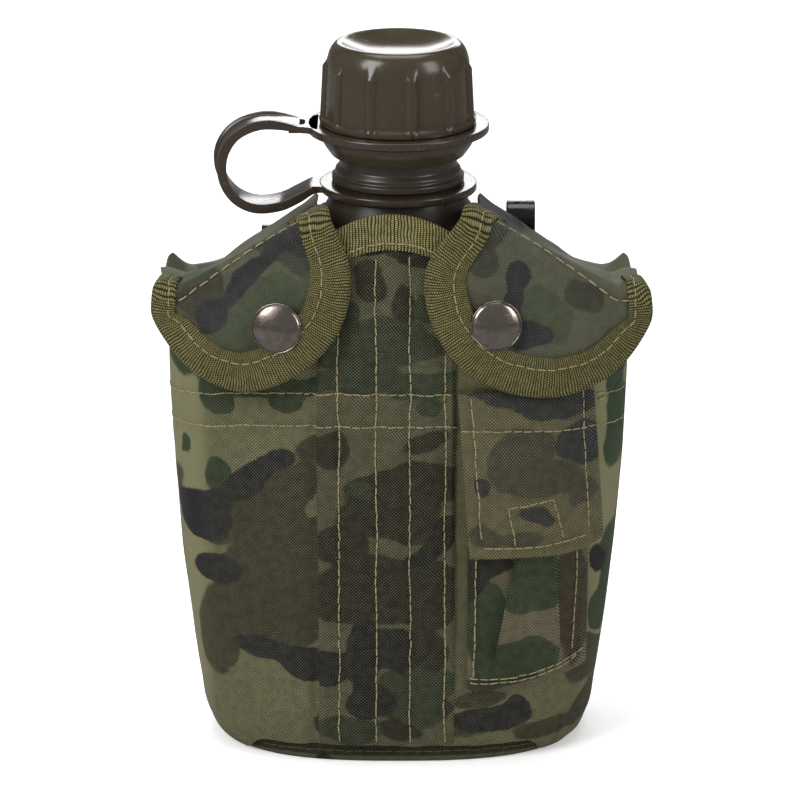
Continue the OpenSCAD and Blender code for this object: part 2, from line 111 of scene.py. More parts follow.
def bell(d: Array, width: float) -> Array:
    """A smooth bump of height 1 at d = 0."""
    return np.exp(-((d / width) ** 2))


def unit(v: Array) -> Array:
    """Vectors of length 1 along v's last axis."""
    return v / np.maximum(np.linalg.norm(v, axis=-1, keepdims=True), 1e-9)


def smooth_table(z: Array, table: Sequence[Point]) -> Array:
    """Reads a table of (height, value) with a smooth curve through its rows.

    Args:
        z: The heights to read at.
        table: The rows, lowest first.

    Returns:
        One value for each height.
    """
    xs, ys = np.array(table, float).T
    slope = np.gradient(ys, xs)
    z = np.clip(z, xs[0], xs[-1])
    i = np.clip(np.searchsorted(xs, z) - 1, 0, len(xs) - 2)
    h = xs[i + 1] - xs[i]
    t = (z - xs[i]) / h
    return (ys[i] * (1 + 2 * t) * (1 - t) ** 2 + ys[i + 1] * t * t * (3 - 2 * t)
            + h * (slope[i] * t * (1 - t) ** 2 + slope[i + 1] * t * t * (t - 1)))


def spline(points: Sequence[Sequence[float]], u: Array) -> Array:
    """Catmull-Rom curve through points.

    Args:
        points: The points the curve passes through.
        u: Places along the curve, 0 to 1; beyond that it goes straight on.

    Returns:
        One point for each u.
    """
    pts = np.array(points, float)
    n = len(pts) - 1
    flat = np.clip(u, 0, 1)
    s = np.minimum(flat * n, n - 1e-6)
    i = s.astype(int)
    t = (s - i)[..., None]
    p0, p1, p2, p3 = pts[np.maximum(i - 1, 0)], pts[i], pts[i + 1], pts[np.minimum(i + 2, n)]
    out = 0.5 * (2 * p1 + (p2 - p0) * t + (2 * p0 - 5 * p1 + 4 * p2 - p3) * t**2 + (3 * p1 - p0 - 3 * p2 + p3) * t**3)
    over = np.asarray(u - flat)[..., None] * n
    return out + np.where(over < 0, over * (pts[1] - pts[0]), over * (pts[-1] - pts[-2]))


def value_noise(x: Array, y: Array, size: float, seed: int) -> Array:
    """Smooth random hills between -1 and 1.

    Args:
        x: First coordinate.
        y: Second coordinate.
        size: Distance between hills.
        seed: Which hills.

    Returns:
        One height for each point.
    """
    table = np.random.default_rng(seed).uniform(-1, 1, (64, 64))
    gx, gy = np.asarray(x) / size + 31.7, np.asarray(y) / size + 17.3
    i, j = np.floor(gx).astype(int), np.floor(gy).astype(int)
    fx, fy = ease(gx - i), ease(gy - j)
    a, b = table[i % 64, j % 64], table[(i + 1) % 64, j % 64]
    c, d = table[i % 64, (j + 1) % 64], table[(i + 1) % 64, (j + 1) % 64]
    return mix(mix(a, b, fx), mix(c, d, fx), fy)


def crumple(x: Array, y: Array, size: float, seed: int) -> Array:
    """Soft creases: hills of three sizes, sharpened into folds, between about -1 and 1."""
    folds = 1 - 2 * np.abs(value_noise(x + 0.6 * y, y - 0.5 * x, size, seed))
    return 0.55 * value_noise(x, y, size, seed + 1) + 0.3 * folds + 0.15 * value_noise(x, y, size / 3, seed + 2)


# ---- shells: meshes in millimetres ----


@dataclass
class Shell:
    """A surface in millimetres, with cloth coordinates and ink depths at its points."""

    points: Array
    faces: list[tuple[int, ...]]
    cut: Array | None = None
    inks: dict[str, Array] = field(default_factory=dict)

    def joined(self, *others: "Shell") -> "Shell":
        """This shell and others as one."""
        every = [self, *others]
        starts = np.cumsum([0] + [len(s.points) for s in every])
        faces = [tuple(i + start for i in f) for s, start in zip(every, starts) for f in s.faces]
        cut = None if self.cut is None else np.concatenate([s.cut for s in every])
        names = {n for s in every for n in s.inks}
        inks = {n: np.concatenate([s.inks.get(n, np.full(len(s.points), -9.0)) for s in every]) for n in names}
        return Shell(np.concatenate([s.points for s in every]), faces, cut, inks)

    def piece(self, name: str, material: bpy.types.Material, crease: float = 50.0) -> bpy.types.Object:
        """Makes a Blender object of the shell.

        Args:
            name: The object's name.
            material: Its finish.
            crease: Edges sharper than this many degrees shade as sharp.

        Returns:
            The object, linked to the scene.
        """
        mesh = bpy.data.meshes.new(name)
        mesh.from_pydata((self.points * MM).tolist(), [], self.faces)
        solid = bmesh.new()
        solid.from_mesh(mesh)
        bmesh.ops.recalc_face_normals(solid, faces=solid.faces)
        solid.to_mesh(mesh)
        solid.free()
        if self.cut is not None:
            cut = np.column_stack([self.cut, np.zeros(len(self.cut))]).astype(np.float32)
            mesh.attributes.new("cut", "FLOAT_VECTOR", "POINT").data.foreach_set("vector", cut.ravel())
        for ink, depth in self.inks.items():
            mesh.attributes.new(ink, "FLOAT", "POINT").data.foreach_set("value", depth.astype(np.float32))
        mesh.shade_smooth()
        mesh.set_sharp_from_angle(angle=math.radians(crease))
        mesh.materials.append(material)
        made = bpy.data.objects.new(name, mesh)
        bpy.context.scene.collection.objects.link(made)
        return made


def grid_quads(rows: int, cols: int, start: int = 0, wrap: bool = False) -> list[tuple[int, ...]]:
    """Quads of a grid of points stored row by row.

    Args:
        rows: Rows of points.
        cols: Points in a row.
        start: Index of the first point.
        wrap: Whether the last column joins the first.

    Returns:
        The faces.
    """
    r, c = np.meshgrid(np.arange(rows - 1), np.arange(cols if wrap else cols - 1), indexing="ij")
    a, b = start + r * cols + c, start + r * cols + (c + 1) % cols
    return np.stack([a, b, b + cols, a + cols], -1).reshape(-1, 4).tolist()


def grid_normals(grid: Array, centre: Sequence[float] = (0, 0, 100)) -> Array:
    """Unit normals of a grid of points, facing away from centre on the whole."""
    n = unit(np.cross(np.gradient(grid, axis=0), np.gradient(grid, axis=1)))
    return n if np.mean(np.sum(n * (grid - np.array(centre)), -1)) > 0 else -n


def cloth(grid: Array, cut: Array, thickness: float = 1.2, centre: Sequence[float] = (0, 0, 100),
          gone: Array | None = None) -> Shell:
    """A closed sheet whose outer face is the grid.

    Args:
        grid: Points of the outer face, as rows and columns.
        cut: Cloth coordinates of the same points, in millimetres.
        thickness: How far the inner face lies inside.
        centre: A point inside the object.
        gone: Optional mask of cells left out, one less than the grid each way.

    Returns:
        The closed shell.
    """
    rows, cols = grid.shape[:2]
    count = rows * cols
    inner = grid - grid_normals(grid, centre) * thickness
    top = np.array(grid_quads(rows, cols)).reshape(rows - 1, cols - 1, 4)
    kept = np.ones((rows + 1, cols + 1), bool)
    kept[[0, -1]] = False
    kept[:, [0, -1]] = False
    if gone is not None:
        kept[1:-1, 1:-1] = ~gone
    at = np.arange(count).reshape(rows, cols)
    faces = top[kept[1:-1, 1:-1]].tolist()
    faces += [[f[3] + count, f[2] + count, f[1] + count, f[0] + count] for f in faces]
    across = kept[:-1, 1:-1] != kept[1:, 1:-1]
    for r, c in zip(*np.nonzero(across)):
        faces.append([at[r, c], at[r, c + 1], at[r, c + 1] + count, at[r, c] + count])
    along = kept[1:-1, :-1] != kept[1:-1, 1:]
    for r, c in zip(*np.nonzero(along)):
        faces.append([at[r, c], at[r + 1, c], at[r + 1, c] + count, at[r, c] + count])
    flat = cut.reshape(-1, 2)
    return Shell(np.concatenate([grid.reshape(-1, 3), inner.reshape(-1, 3)]), [tuple(map(int, f)) for f in faces],
                 np.concatenate([flat, flat]))


def loft(rings: Array, cut: Array | None = None, loop: bool = False) -> Shell:
    """A skin over closed rings of points.

    Args:
        rings: Rows of rings, each with the same number of points.
        cut: Cloth coordinates of the same points.
        loop: Whether the last ring joins the first; otherwise both ends are capped.

    Returns:
        The closed shell.
    """
    rows, cols = rings.shape[:2]
    faces = grid_quads(rows, cols, wrap=True)
    last = (rows - 1) * cols
    if loop:
        faces += [[last + c, last + (c + 1) % cols, (c + 1) % cols, c] for c in range(cols)]
    else:
        faces += [list(range(cols))[::-1], [last + c for c in range(cols)]]
    return Shell(rings.reshape(-1, 3), [tuple(f) for f in faces], None if cut is None else cut.reshape(-1, 2))


def rounded(corners: Sequence[Point], radius: float = 0.4, steps: int = 4, closed: bool = False) -> Array:
    """A polyline with its corners rounded off.

    Args:
        corners: The corners.
        radius: How far from a corner the rounding starts, at most.
        steps: Points on each rounding, less one.
        closed: Whether the last corner joins the first.

    Returns:
        The points of the rounded line.
    """
    p = np.array(corners, float)
    n = len(p)
    out: list[Array] = []
    for i in range(n):
        if not closed and i in (0, n - 1):
            out.append(p[i])
            continue
        before, after = p[i - 1] - p[i], p[(i + 1) % n] - p[i]
        a = p[i] + unit(before) * min(radius, np.linalg.norm(before) * 0.45)
        b = p[i] + unit(after) * min(radius, np.linalg.norm(after) * 0.45)
        for t in np.linspace(0, 1, steps + 1):
            out.append((1 - t) ** 2 * a + 2 * t * (1 - t) * p[i] + t * t * b)
    return np.array(out)


def lathe(profile: Array, turns: int = 160, closed: bool = False,
          swell: Callable[[Array, Array], Array] | None = None) -> Shell:
    """Turns a profile of (radius, height) about the Z axis.

    Args:
        profile: The profile's points.
        turns: Points in a full turn.
        closed: Whether the profile is a closed loop, as a ring's section is.
        swell: Optional extra radius for an angle and a height.

    Returns:
        The closed shell.
    """
    angle = np.linspace(0, 2 * math.pi, turns, endpoint=False)[None, :]
    r, z = np.maximum(profile[:, :1], 0.01) + 0 * angle, profile[:, 1:] + 0 * angle
    if swell is not None:
        r = r + swell(angle + 0 * z, z)
    return loft(np.stack([r * np.sin(angle), -r * np.cos(angle), z], -1), loop=closed)


def resample(line: Array, step: float) -> Array:
    """Points along a line, about step apart."""
    run = np.concatenate([[0], np.cumsum(np.linalg.norm(np.diff(line, axis=0), axis=1))])
    s = np.linspace(0, run[-1], max(2, int(run[-1] / step) + 1))
    return np.stack([np.interp(s, run, line[:, k]) for k in range(3)], -1)


def sew(line: Array, normal: Array, pitch: float = 3.1, length: float = 2.75, thick: float = 0.5, seed: int = 1,
        lift: float = 0.12) -> Shell:
    """Lockstitches along a line on a surface, each a short thread that dives in at both ends.

    Args:
        line: Points of the seam.
        normal: The surface's normal at those points.
        pitch: Distance from one stitch to the next.
        length: Length of a stitch.
        thick: Thickness of the thread.
        seed: Which small irregularities.
        lift: How far the thread's middle stands off the line.

    Returns:
        One shell of all the stitches.
    """
    rng = np.random.default_rng(seed)
    run = np.concatenate([[0], np.cumsum(np.linalg.norm(np.diff(line, axis=0), axis=1))])
    tangent = unit(np.gradient(line, axis=0))
    start = np.arange(0.3, max(run[-1] - length, 0.4), pitch)
    start = start + rng.uniform(-0.12, 0.12, len(start))
    t = np.array([0, 0.14, 0.5, 0.86, 1.0])
    s = start[:, None] + t * length * rng.uniform(0.92, 1.04, (len(start), 1))

    def read(values: Array) -> Array:
        """The values at the stitches' points."""
        return np.stack([np.interp(s, run, values[:, k]) for k in range(3)], -1)

    n, along = unit(read(normal)), unit(read(tangent))
    side = unit(np.cross(n, along))
    sway = rng.uniform(-0.13, 0.13, (len(start), 1)) + np.linspace(-1, 1, 5) * rng.uniform(-0.12, 0.12, (len(start), 1))
    height = np.array([-0.25, 0.75, 1.0, 0.75, -0.25]) * lift
    at = read(line) + n * height[None, :, None] + side * sway[..., None]
    radius = thick / 2 * np.array([0.55, 0.95, 1.0, 0.95, 0.55])[None, :, None, None]
    turn = np.linspace(0, 2 * math.pi, 6, endpoint=False)
    ring = (at[:, :, None] + radius * (np.cos(turn)[:, None] * side[:, :, None]
                                       + 0.85 * np.sin(turn)[:, None] * n[:, :, None]))
    one = np.array(grid_quads(5, 6, wrap=True))
    faces = (one[None] + (np.arange(len(start)) * 30)[:, None, None]).reshape(-1, 4).tolist()
    for k in range(len(start)):
        faces += [[k * 30 + i for i in range(5, -1, -1)], [k * 30 + 24 + i for i in range(6)]]
    cut = np.stack([s[:, :, None] + 0 * turn, turn * thick / 2 + 0 * s[:, :, None]], -1)
    return Shell(ring.reshape(-1, 3), [tuple(f) for f in faces], cut.reshape(-1, 2))


# ---- camouflage printing ----

INKS = {"G": "green", "B": "brown", "K": "black"}


def print_inks(shell: Shell, blots: Sequence[Blot], seed: int, grain: Array | None = None,
               where: Array | None = None) -> Shell:
    """Prints blots on a shell: every ink's depth inside its blots, in millimetres.

    Args:
        shell: The shell, with cloth coordinates.
        blots: Ink letter, place across and up, half sizes and turn in degrees.
        seed: Which irregularities the outlines have.
        grain: How plainly the weave shows at each point, 0 to 1.
        where: The coordinates the blots are placed in, if not the cloth's own.

    Returns:
        The same shell.
    """
    place = shell.cut if where is None else where
    x, z = place.T
    x = x + 1.5 * value_noise(x, z, 9, seed) + 0.5 * value_noise(x, z, 3.4, seed + 1)
    z = z + 1.5 * value_noise(x, z, 8, seed + 2) + 0.5 * value_noise(x, z, 3.1, seed + 3)
    for letter, ink in INKS.items():
        total = np.full(len(x), 1e-6)
        for _, bx, bz, rx, rz, turn in (b for b in blots if b[0] == letter):
            c, s = math.cos(math.radians(turn)), math.sin(math.radians(turn))
            u, v = (x - bx) * c + (z - bz) * s, (z - bz) * c - (x - bx) * s
            depth = (1 - np.sqrt((u / rx) ** 2 + (v / rz) ** 2)) * min(rx, rz)
            total += np.exp(np.clip(depth * 1.3, -20, 20))
        shell.inks[ink] = np.clip(np.log(total) / 1.3, -6, 6)
    shell.inks["grain"] = np.ones(len(x)) if grain is None else grain
    return shell


def scatter(seed: int, width: tuple[float, float], height: tuple[float, float], count: int) -> list[Blot]:
    """Blots strewn over an area.

    Args:
        seed: Which arrangement.
        width: Lowest and highest place across.
        height: Lowest and highest place up.
        count: How many blots.

    Returns:
        The blots.
    """
    rng = np.random.default_rng(seed)
    out: list[Blot] = []
    for k in range(count):
        letter = "GBKBG"[k % 5]
        size = {"G": 11.0, "B": 14.0, "K": 7.0}[letter] * rng.uniform(0.6, 1.2)
        out.append((letter, rng.uniform(*width), rng.uniform(*height), size * rng.uniform(1.1, 1.9),
                    size * rng.uniform(0.45, 0.9), rng.uniform(-50, 70)))
    return out


# ---- shader parts ----


@dataclass
class Graph:
    """Wires shader nodes into one tree."""

    tree: bpy.types.NodeTree

    def add(self, kind: str, inputs: dict[str | int, object] | None = None, **settings: object) -> bpy.types.Node:
        """Adds a node.

        Args:
            kind: The node's type, without the ShaderNode prefix.
            inputs: Socket names or numbers, with a value or the socket to link.
            settings: The node's own properties.

        Returns:
            The node.
        """
        node = self.tree.nodes.new("ShaderNode" + kind)
        for key, value in settings.items():
            setattr(node, key, value)
        for key, value in (inputs or {}).items():
            if isinstance(value, bpy.types.NodeSocket):
                self.tree.links.new(value, node.inputs[key])
            else:
                node.inputs[key].default_value = value
        return node

    def math(self, operation: str, *values: object) -> bpy.types.NodeSocket:
        """A math node's result."""
        return self.add("Math", dict(enumerate(values)), operation=operation).outputs[0]

    def mix(self, share: object, a: object, b: object, blend: str = "MIX") -> bpy.types.NodeSocket:
        """A mix of two colours."""
        node = self.add("Mix", {0: share, 6: a, 7: b}, data_type="RGBA", blend_type=blend)
        return node.outputs[2]

    def span(self, value: object, low: float, high: float, to_low: float = 0.0, to_high: float = 1.0,
             smooth: bool = True) -> bpy.types.NodeSocket:
        """Maps a span of values to another, held at its ends."""
        kind = "SMOOTHSTEP" if smooth else "LINEAR"
        return self.add("MapRange", {0: value, 1: low, 2: high, 3: to_low, 4: to_high},
                        interpolation_type=kind).outputs[0]

    def depth(self, name: str) -> bpy.types.NodeSocket:
        """A value stored on the mesh's points."""
        return self.add("Attribute", attribute_name=name).outputs["Fac"]

    def noise(self, scale: object, detail: float = 4.0, rough: float = 0.55,
              vector: object | None = None) -> bpy.types.NodeSocket:
        """Noise over the object's own space, or over a vector."""
        where = vector or self.add("TexCoord").outputs["Object"]
        return self.add("TexNoise", {"Vector": where, "Scale": scale, "Detail": detail, "Roughness": rough}).outputs[0]

    def group(self, name: str, **values: object) -> bpy.types.Node:
        """Places a shared group with its own values."""
        node = self.tree.nodes.new("ShaderNodeGroup")
        node.node_tree = bpy.data.node_groups[name]
        for key, value in values.items():
            socket = node.inputs[key.replace("_", " ")]
            if isinstance(value, bpy.types.NodeSocket):
                self.tree.links.new(value, socket)
            else:
                socket.default_value = value
        return node


def new_group(name: str, inputs: dict[str, float | tuple], outputs: dict[str, str]) -> tuple[
        Graph, bpy.types.Node, Callable[[str, bpy.types.NodeSocket], None]]:
    """Starts a shared shader group.

    Args:
        name: The group's name.
        inputs: Input names with their default; a tuple makes a colour.
        outputs: Output names with "Color" or "Float".

    Returns:
        The group's graph, its input node, and a function that wires an output.
    """
    tree = bpy.data.node_groups.new(name, "ShaderNodeTree")
    for key, value in inputs.items():
        kind = "NodeSocketColor" if isinstance(value, tuple) else "NodeSocketFloat"
        tree.interface.new_socket(key, in_out="INPUT", socket_type=kind).default_value = value
    for key, kind in outputs.items():
        tree.interface.new_socket(key, in_out="OUTPUT", socket_type="NodeSocket" + kind)
    entry, leave = tree.nodes.new("NodeGroupInput"), tree.nodes.new("NodeGroupOutput")

    def wire(key: str, socket: bpy.types.NodeSocket) -> None:
        """Links a socket to the group's output."""
        tree.links.new(socket, leave.inputs[key])

    return Graph(tree), entry, wire


def make_groups() -> None:
    """Builds the shader groups that several finishes share."""
    ink = (0.1, 0.1, 0.1, 1.0)
    g, entry, wire = new_group("Printed inks", {"Ground": ink, "Green": ink, "Brown": ink, "Black": ink},
                               {"Color": "Color"})
    ragged = g.math("MULTIPLY", g.math("SUBTRACT", g.noise(900.0, 2.0), 0.5), 0.9)
    colour = entry.outputs["Ground"]
    for name, edge in (("Brown", 0.45), ("Green", 0.3), ("Black", 0.3)):
        mask = g.span(g.math("ADD", g.depth(name.lower()), ragged), -edge, edge)
        colour = g.mix(mask, colour, entry.outputs[name])
    wire("Color", colour)

    # Woven threads: Thread is the mask of the thread tops, which the cloth finishes paint as highlights over painted
    # shade in the gaps; Height drives the bump.
    g, entry, wire = new_group("Woven threads", {"Across": 0.5, "Along": 0.5, "Turn": 0.0},
                               {"Thread": "Float", "Height": "Float"})
    cut = g.add("Attribute", attribute_name="cut").outputs["Vector"]
    wander = g.math("MULTIPLY", g.math("SUBTRACT", g.noise(0.045, 1.0, vector=cut), 0.5), 3.0)
    turned = g.add("VectorRotate", {"Vector": cut, "Angle": entry.outputs["Turn"]}, rotation_type="Z_AXIS")
    xyz = g.add("SeparateXYZ", {0: turned.outputs[0]})
    waves = [g.math("SINE", g.math("MULTIPLY", g.math("ADD", xyz.outputs[axis], wander),
                                   g.math("DIVIDE", math.pi, entry.outputs[pitch])))
             for axis, pitch in (("X", "Across"), ("Y", "Along"))]
    over = g.math("MULTIPLY", *waves)
    uneven = g.span(g.noise(0.35, 2.0, vector=cut), 0.3, 0.7, 0.55, 1.25)
    wire("Thread", g.math("MULTIPLY", g.span(over, 0.0, 0.85), uneven))
    wire("Height", g.span(over, -1.0, 1.0, smooth=False))

    # Ribbed tape: Thread is the mask of the beads, which the tape finishes paint as highlights over painted shade in
    # the gaps; Height drives the bump.
    g, entry, wire = new_group("Ribbed tape", {"Rib": 0.9, "Bead": 0.7}, {"Thread": "Float", "Height": "Float"})
    cut = g.add("Attribute", attribute_name="cut").outputs["Vector"]
    xyz = g.add("SeparateXYZ", {0: cut})
    wander = g.math("MULTIPLY", g.math("SUBTRACT", g.noise(0.16, 1.0, vector=cut), 0.5), 1.5)
    u = g.math("DIVIDE", g.math("ADD", xyz.outputs["X"], wander), entry.outputs["Rib"])
    v = g.math("DIVIDE", xyz.outputs["Y"], entry.outputs["Bead"])
    rib = g.math("ABSOLUTE", g.math("SINE", g.math("MULTIPLY", u, math.pi)))
    odd = g.math("MULTIPLY", g.math("MODULO", g.math("FLOOR", u), 2.0), 0.5)
    bead = g.math("ABSOLUTE", g.math("SINE", g.math("MULTIPLY", g.math("ADD", v, odd), math.pi)))
    body = g.math("MULTIPLY", g.math("POWER", rib, 0.8), g.span(bead, 0.0, 0.8, 0.35, 1.0))
    uneven = g.span(g.noise(0.5, 2.0, vector=cut), 0.3, 0.7, 0.7, 1.2)
    wire("Thread", g.math("MULTIPLY", g.span(body, 0.3, 0.95), uneven))
    wire("Height", body)

    g, entry, wire = new_group("Soiling", {"Scale": 30.0, "Amount": 0.2}, {"Tone": "Float", "Dust": "Float"})
    broad = g.noise(entry.outputs["Scale"], 5.0, 0.6)
    reach = g.math("MULTIPLY", g.math("SUBTRACT", broad, 0.5), g.math("MULTIPLY", entry.outputs["Amount"], 2.0))
    wire("Tone", g.math("ADD", reach, 1.0))
    wire("Dust", g.span(g.noise(g.math("MULTIPLY", entry.outputs["Scale"], 6.0), 6.0, 0.7), 0.56, 0.8))

    g, entry, wire = new_group("Moulded skin", {"Grain": 700.0}, {"Scuff": "Float", "Height": "Float"})
    fine = g.noise(entry.outputs["Grain"], 3.0, 0.6)
    scratch = g.add("TexNoise", {"Vector": g.add("Mapping", {
        "Vector": g.add("TexCoord").outputs["Object"], "Rotation": (0.3, 0.5, 0.7), "Scale": (60.0, 900.0, 240.0)
    }).outputs[0], "Scale": 1.0, "Detail": 3.0}).outputs[0]
    wire("Scuff", g.math("MULTIPLY", g.span(scratch, 0.62, 0.74), g.span(g.noise(90.0), 0.45, 0.65)))
    wire("Height", g.math("ADD", fine, g.math("MULTIPLY", scratch, 0.5)))


@dataclass(frozen=True)
class Finish:
    """Base of every finish: a named material made once."""

    name: str

    def material(self) -> bpy.types.Material:
        """The finish's material, made at its first use."""
        found = bpy.data.materials.get(self.name)
        if found is not None:
            return found
        made = bpy.data.materials.new(self.name)
        made.use_nodes = True
        self.dress(Graph(made.node_tree), made.node_tree.nodes["Principled BSDF"])
        return made

    def dress(self, g: Graph, shader: bpy.types.Node) -> None:
        """Wires the finish into its Principled shader."""
        raise NotImplementedError

    def soiled(self, g: Graph, colour: object, soil: bpy.types.Node) -> object:
        """The colour darkened by the grey tone of a soiling group."""
        tone = g.add("CombineColor", {channel: soil.outputs["Tone"] for channel in range(3)})
        return g.mix(1.0, colour, tone.outputs[0], "MULTIPLY")

    def wire(self, g: Graph, shader: bpy.types.Node, colour: object, rough: object, height: object | None = None,
             bump: float = 0.1, deep: float = 0.001, shine: float = 0.5) -> None:
        """Links a colour, a roughness and a height to the shader.

        Args:
            g: The material's graph.
            shader: The Principled shader.
            colour: Base colour.
            rough: Roughness.
            height: Height for a bump, if any.
            bump: Strength of the bump.
            deep: Its distance in metres.
            shine: Specular level.
        """
        shader.inputs["Specular IOR Level"].default_value = shine
        g.tree.links.new(colour, shader.inputs["Base Color"])
        g.tree.links.new(rough, shader.inputs["Roughness"])
        if height is not None:
            node = g.add("Bump", {"Strength": bump, "Distance": deep, "Height": height})
            g.tree.links.new(node.outputs[0], shader.inputs["Normal"])


@dataclass(frozen=True)
class PrintedCloth(Finish):
    """Coarse nylon printed in four inks: the ground and three blots."""

    pitch: float = 0.5
    turn: float = 0.0
    ground: tuple[float, float, float] = (112, 110, 80)
    green: tuple[float, float, float] = (46, 60, 38)
    brown: tuple[float, float, float] = (62, 58, 42)
    black: tuple[float, float, float] = (30, 30, 36)
    # Colour of the painted highlight on the thread tops.
    thread: tuple[float, float, float] = (166, 164, 132)
    shine: float = 0.15

    def dress(self, g: Graph, shader: bpy.types.Node) -> None:
        """Inks with painted highlights on the thread tops and painted shade in the gaps between threads, with sheen."""
        inks = g.group("Printed inks", Ground=srgb(*self.ground), Green=srgb(*self.green), Brown=srgb(*self.brown),
                       Black=srgb(*self.black))
        weave = g.group("Woven threads", Across=self.pitch, Along=self.pitch, Turn=self.turn)
        soil = g.group("Soiling", Scale=38.0, Amount=0.22)
        grain = g.depth("grain")
        # Painted shade in the gaps between threads: the inks darkened towards near black, more where the weave shows
        # plainly.
        dark = g.mix(g.math("MULTIPLY", grain, 0.6), inks.outputs[0], srgb(16, 16, 11))
        # Painted highlight on the thread tops: the inks brightened and mixed with the highlight colour.
        top = g.mix(0.2, g.mix(1.0, inks.outputs[0], (1.3, 1.3, 1.3, 1.0), "MULTIPLY"), srgb(*self.thread))
        # The painted highlight goes where the weave's thread mask is high; everywhere else gets the painted gap shade.
        lit = g.math("MULTIPLY", weave.outputs["Thread"], grain)
        plain = g.mix(grain, inks.outputs[0], dark)
        colour = g.mix(lit, plain, top)
        colour = self.soiled(g, colour, soil)
        height = g.math("MULTIPLY", weave.outputs["Height"], g.math("ADD", g.math("MULTIPLY", grain, 0.8), 0.2))
        rough = g.span(grain, 0.0, 1.0, 0.56, 0.68)
        self.wire(g, shader, colour, rough, height, 0.5, 0.00035, self.shine)
        shader.inputs["Sheen Weight"].default_value = 0.02
        shader.inputs["Sheen Roughness"].default_value = 0.4


@dataclass(frozen=True)
class Webbing(Finish):
    """Ribbed olive tape."""

    rib: float = 0.92
    bead: float = 0.72
    # Colour of the painted highlight on the beads.
    bead_highlight: tuple[float, float, float] = (126, 121, 80)

    def dress(self, g: Graph, shader: bpy.types.Node) -> None:
        """Painted highlights on the beads in rows, painted shade in the gaps between them."""
        tape = g.group("Ribbed tape", Rib=self.rib, Bead=self.bead)
        soil = g.group("Soiling", Scale=45.0, Amount=0.2)
        # Painted shade in the gaps, the dark colour, under painted highlights on the beads.
        colour = g.mix(tape.outputs["Thread"], srgb(38, 35, 14), srgb(*self.bead_highlight))
        colour = self.soiled(g, colour, soil)
        self.wire(g, shader, colour, g.span(tape.outputs["Thread"], 0.0, 1.0, 0.8, 0.55), tape.outputs["Height"], 0.7,
                  0.0005, 0.12)


@dataclass(frozen=True)
class SewingThread(Finish):
    """Twisted tan thread."""

    colour: tuple[float, float, float] = (166, 154, 118)

    def dress(self, g: Graph, shader: bpy.types.Node) -> None:
        """A twist along each stitch, with painted shade in the twist's grooves."""
        cut = g.add("Attribute", attribute_name="cut").outputs["Vector"]
        xyz = g.add("SeparateXYZ", {0: cut})
        twist = g.math("SINE", g.math("ADD", g.math("MULTIPLY", xyz.outputs["X"], 7.0),
                                      g.math("MULTIPLY", xyz.outputs["Y"], 9.0)))
        soil = g.group("Soiling", Scale=160.0, Amount=0.5)
        # Painted shade: the thread colour darkened to 0.72 of itself in the twist's grooves.
        base = g.mix(g.span(twist, -1.0, 1.0), srgb(*(c * 0.72 for c in self.colour)), srgb(*self.colour))
        colour = self.soiled(g, base, soil)
        self.wire(g, shader, colour, g.span(twist, -1.0, 1.0, 0.75, 0.55), twist, 0.3, 0.0001, 0.15)


@dataclass(frozen=True)
class Plastic(Finish):
    """Satin moulded polyethylene with light scuffs."""

    colour: tuple[float, float, float] = (62, 53, 42)
    worn: tuple[float, float, float] = (104, 94, 78)
    rough: float = 0.3

    def dress(self, g: Graph, shader: bpy.types.Node) -> None:
        """Plain colour broken up by dust, scuffs and a fine grain."""
        skin = g.group("Moulded skin", Grain=650.0)
        soil = g.group("Soiling", Scale=55.0, Amount=0.16)
        colour = self.soiled(g, srgb(*self.colour), soil)
        colour = g.mix(g.math("MULTIPLY", skin.outputs["Scuff"], 0.4), colour, srgb(*self.worn))
        colour = g.mix(g.math("MULTIPLY", soil.outputs["Dust"], 0.1), colour, srgb(*self.worn))
        rough = g.math("ADD", g.span(soil.outputs["Dust"], 0.0, 1.0, self.rough, self.rough + 0.2),
                       g.math("MULTIPLY", skin.outputs["Scuff"], 0.15))
        self.wire(g, shader, colour, rough, skin.outputs["Height"], 0.12, 0.0002)


@dataclass(frozen=True)
class Metal(Finish):
    """Plated or painted metal with mottled tarnish."""

    colour: tuple[float, float, float] = (150, 144, 136)
    tarnish: tuple[float, float, float] = (58, 52, 46)
    metallic: float = 1.0
    rough: float = 0.25
    amount: float = 0.6

    def dress(self, g: Graph, shader: bpy.types.Node) -> None:
        """Tarnish in clouds over the plating."""
        soil = g.group("Soiling", Scale=330.0, Amount=0.3)
        skin = g.group("Moulded skin", Grain=1500.0)
        cloud = g.span(g.noise(420.0, 5.0, 0.65), 0.42, 0.62)
        colour = g.mix(g.math("MULTIPLY", cloud, self.amount), srgb(*self.colour), srgb(*self.tarnish))
        colour = self.soiled(g, colour, soil)
        rough = g.math("ADD", g.span(cloud, 0.0, 1.0, self.rough, self.rough + 0.14),
                       g.math("MULTIPLY", skin.outputs["Scuff"], 0.2))
        self.wire(g, shader, colour, rough, skin.outputs["Height"], 0.08, 0.0001)
        shader.inputs["Metallic"].default_value = self.metallic


@dataclass(frozen=True)
class Pile(Finish):
    """Hook or loop tape."""

    colour: tuple[float, float, float] = (52, 54, 38)
    size: float = 1800.0

    def dress(self, g: Graph, shader: bpy.types.Node) -> None:
        """Tiny tufts with painted highlights on their tops and painted shade between them."""
        where = g.add("TexCoord").outputs["Object"]
        tuft = g.add("TexVoronoi", {"Vector": where, "Scale": self.size}).outputs["Distance"]
        # Painted highlight on the tuft tops, fading to painted shade between them.
        lit = g.span(tuft, 0.05, 0.6, 1.0, 0.0)
        colour = g.mix(lit, srgb(16, 17, 12), srgb(*self.colour))
        self.wire(g, shader, colour, g.span(tuft, 0.0, 1.0, 0.9, 0.7), lit, 0.9, 0.0006)


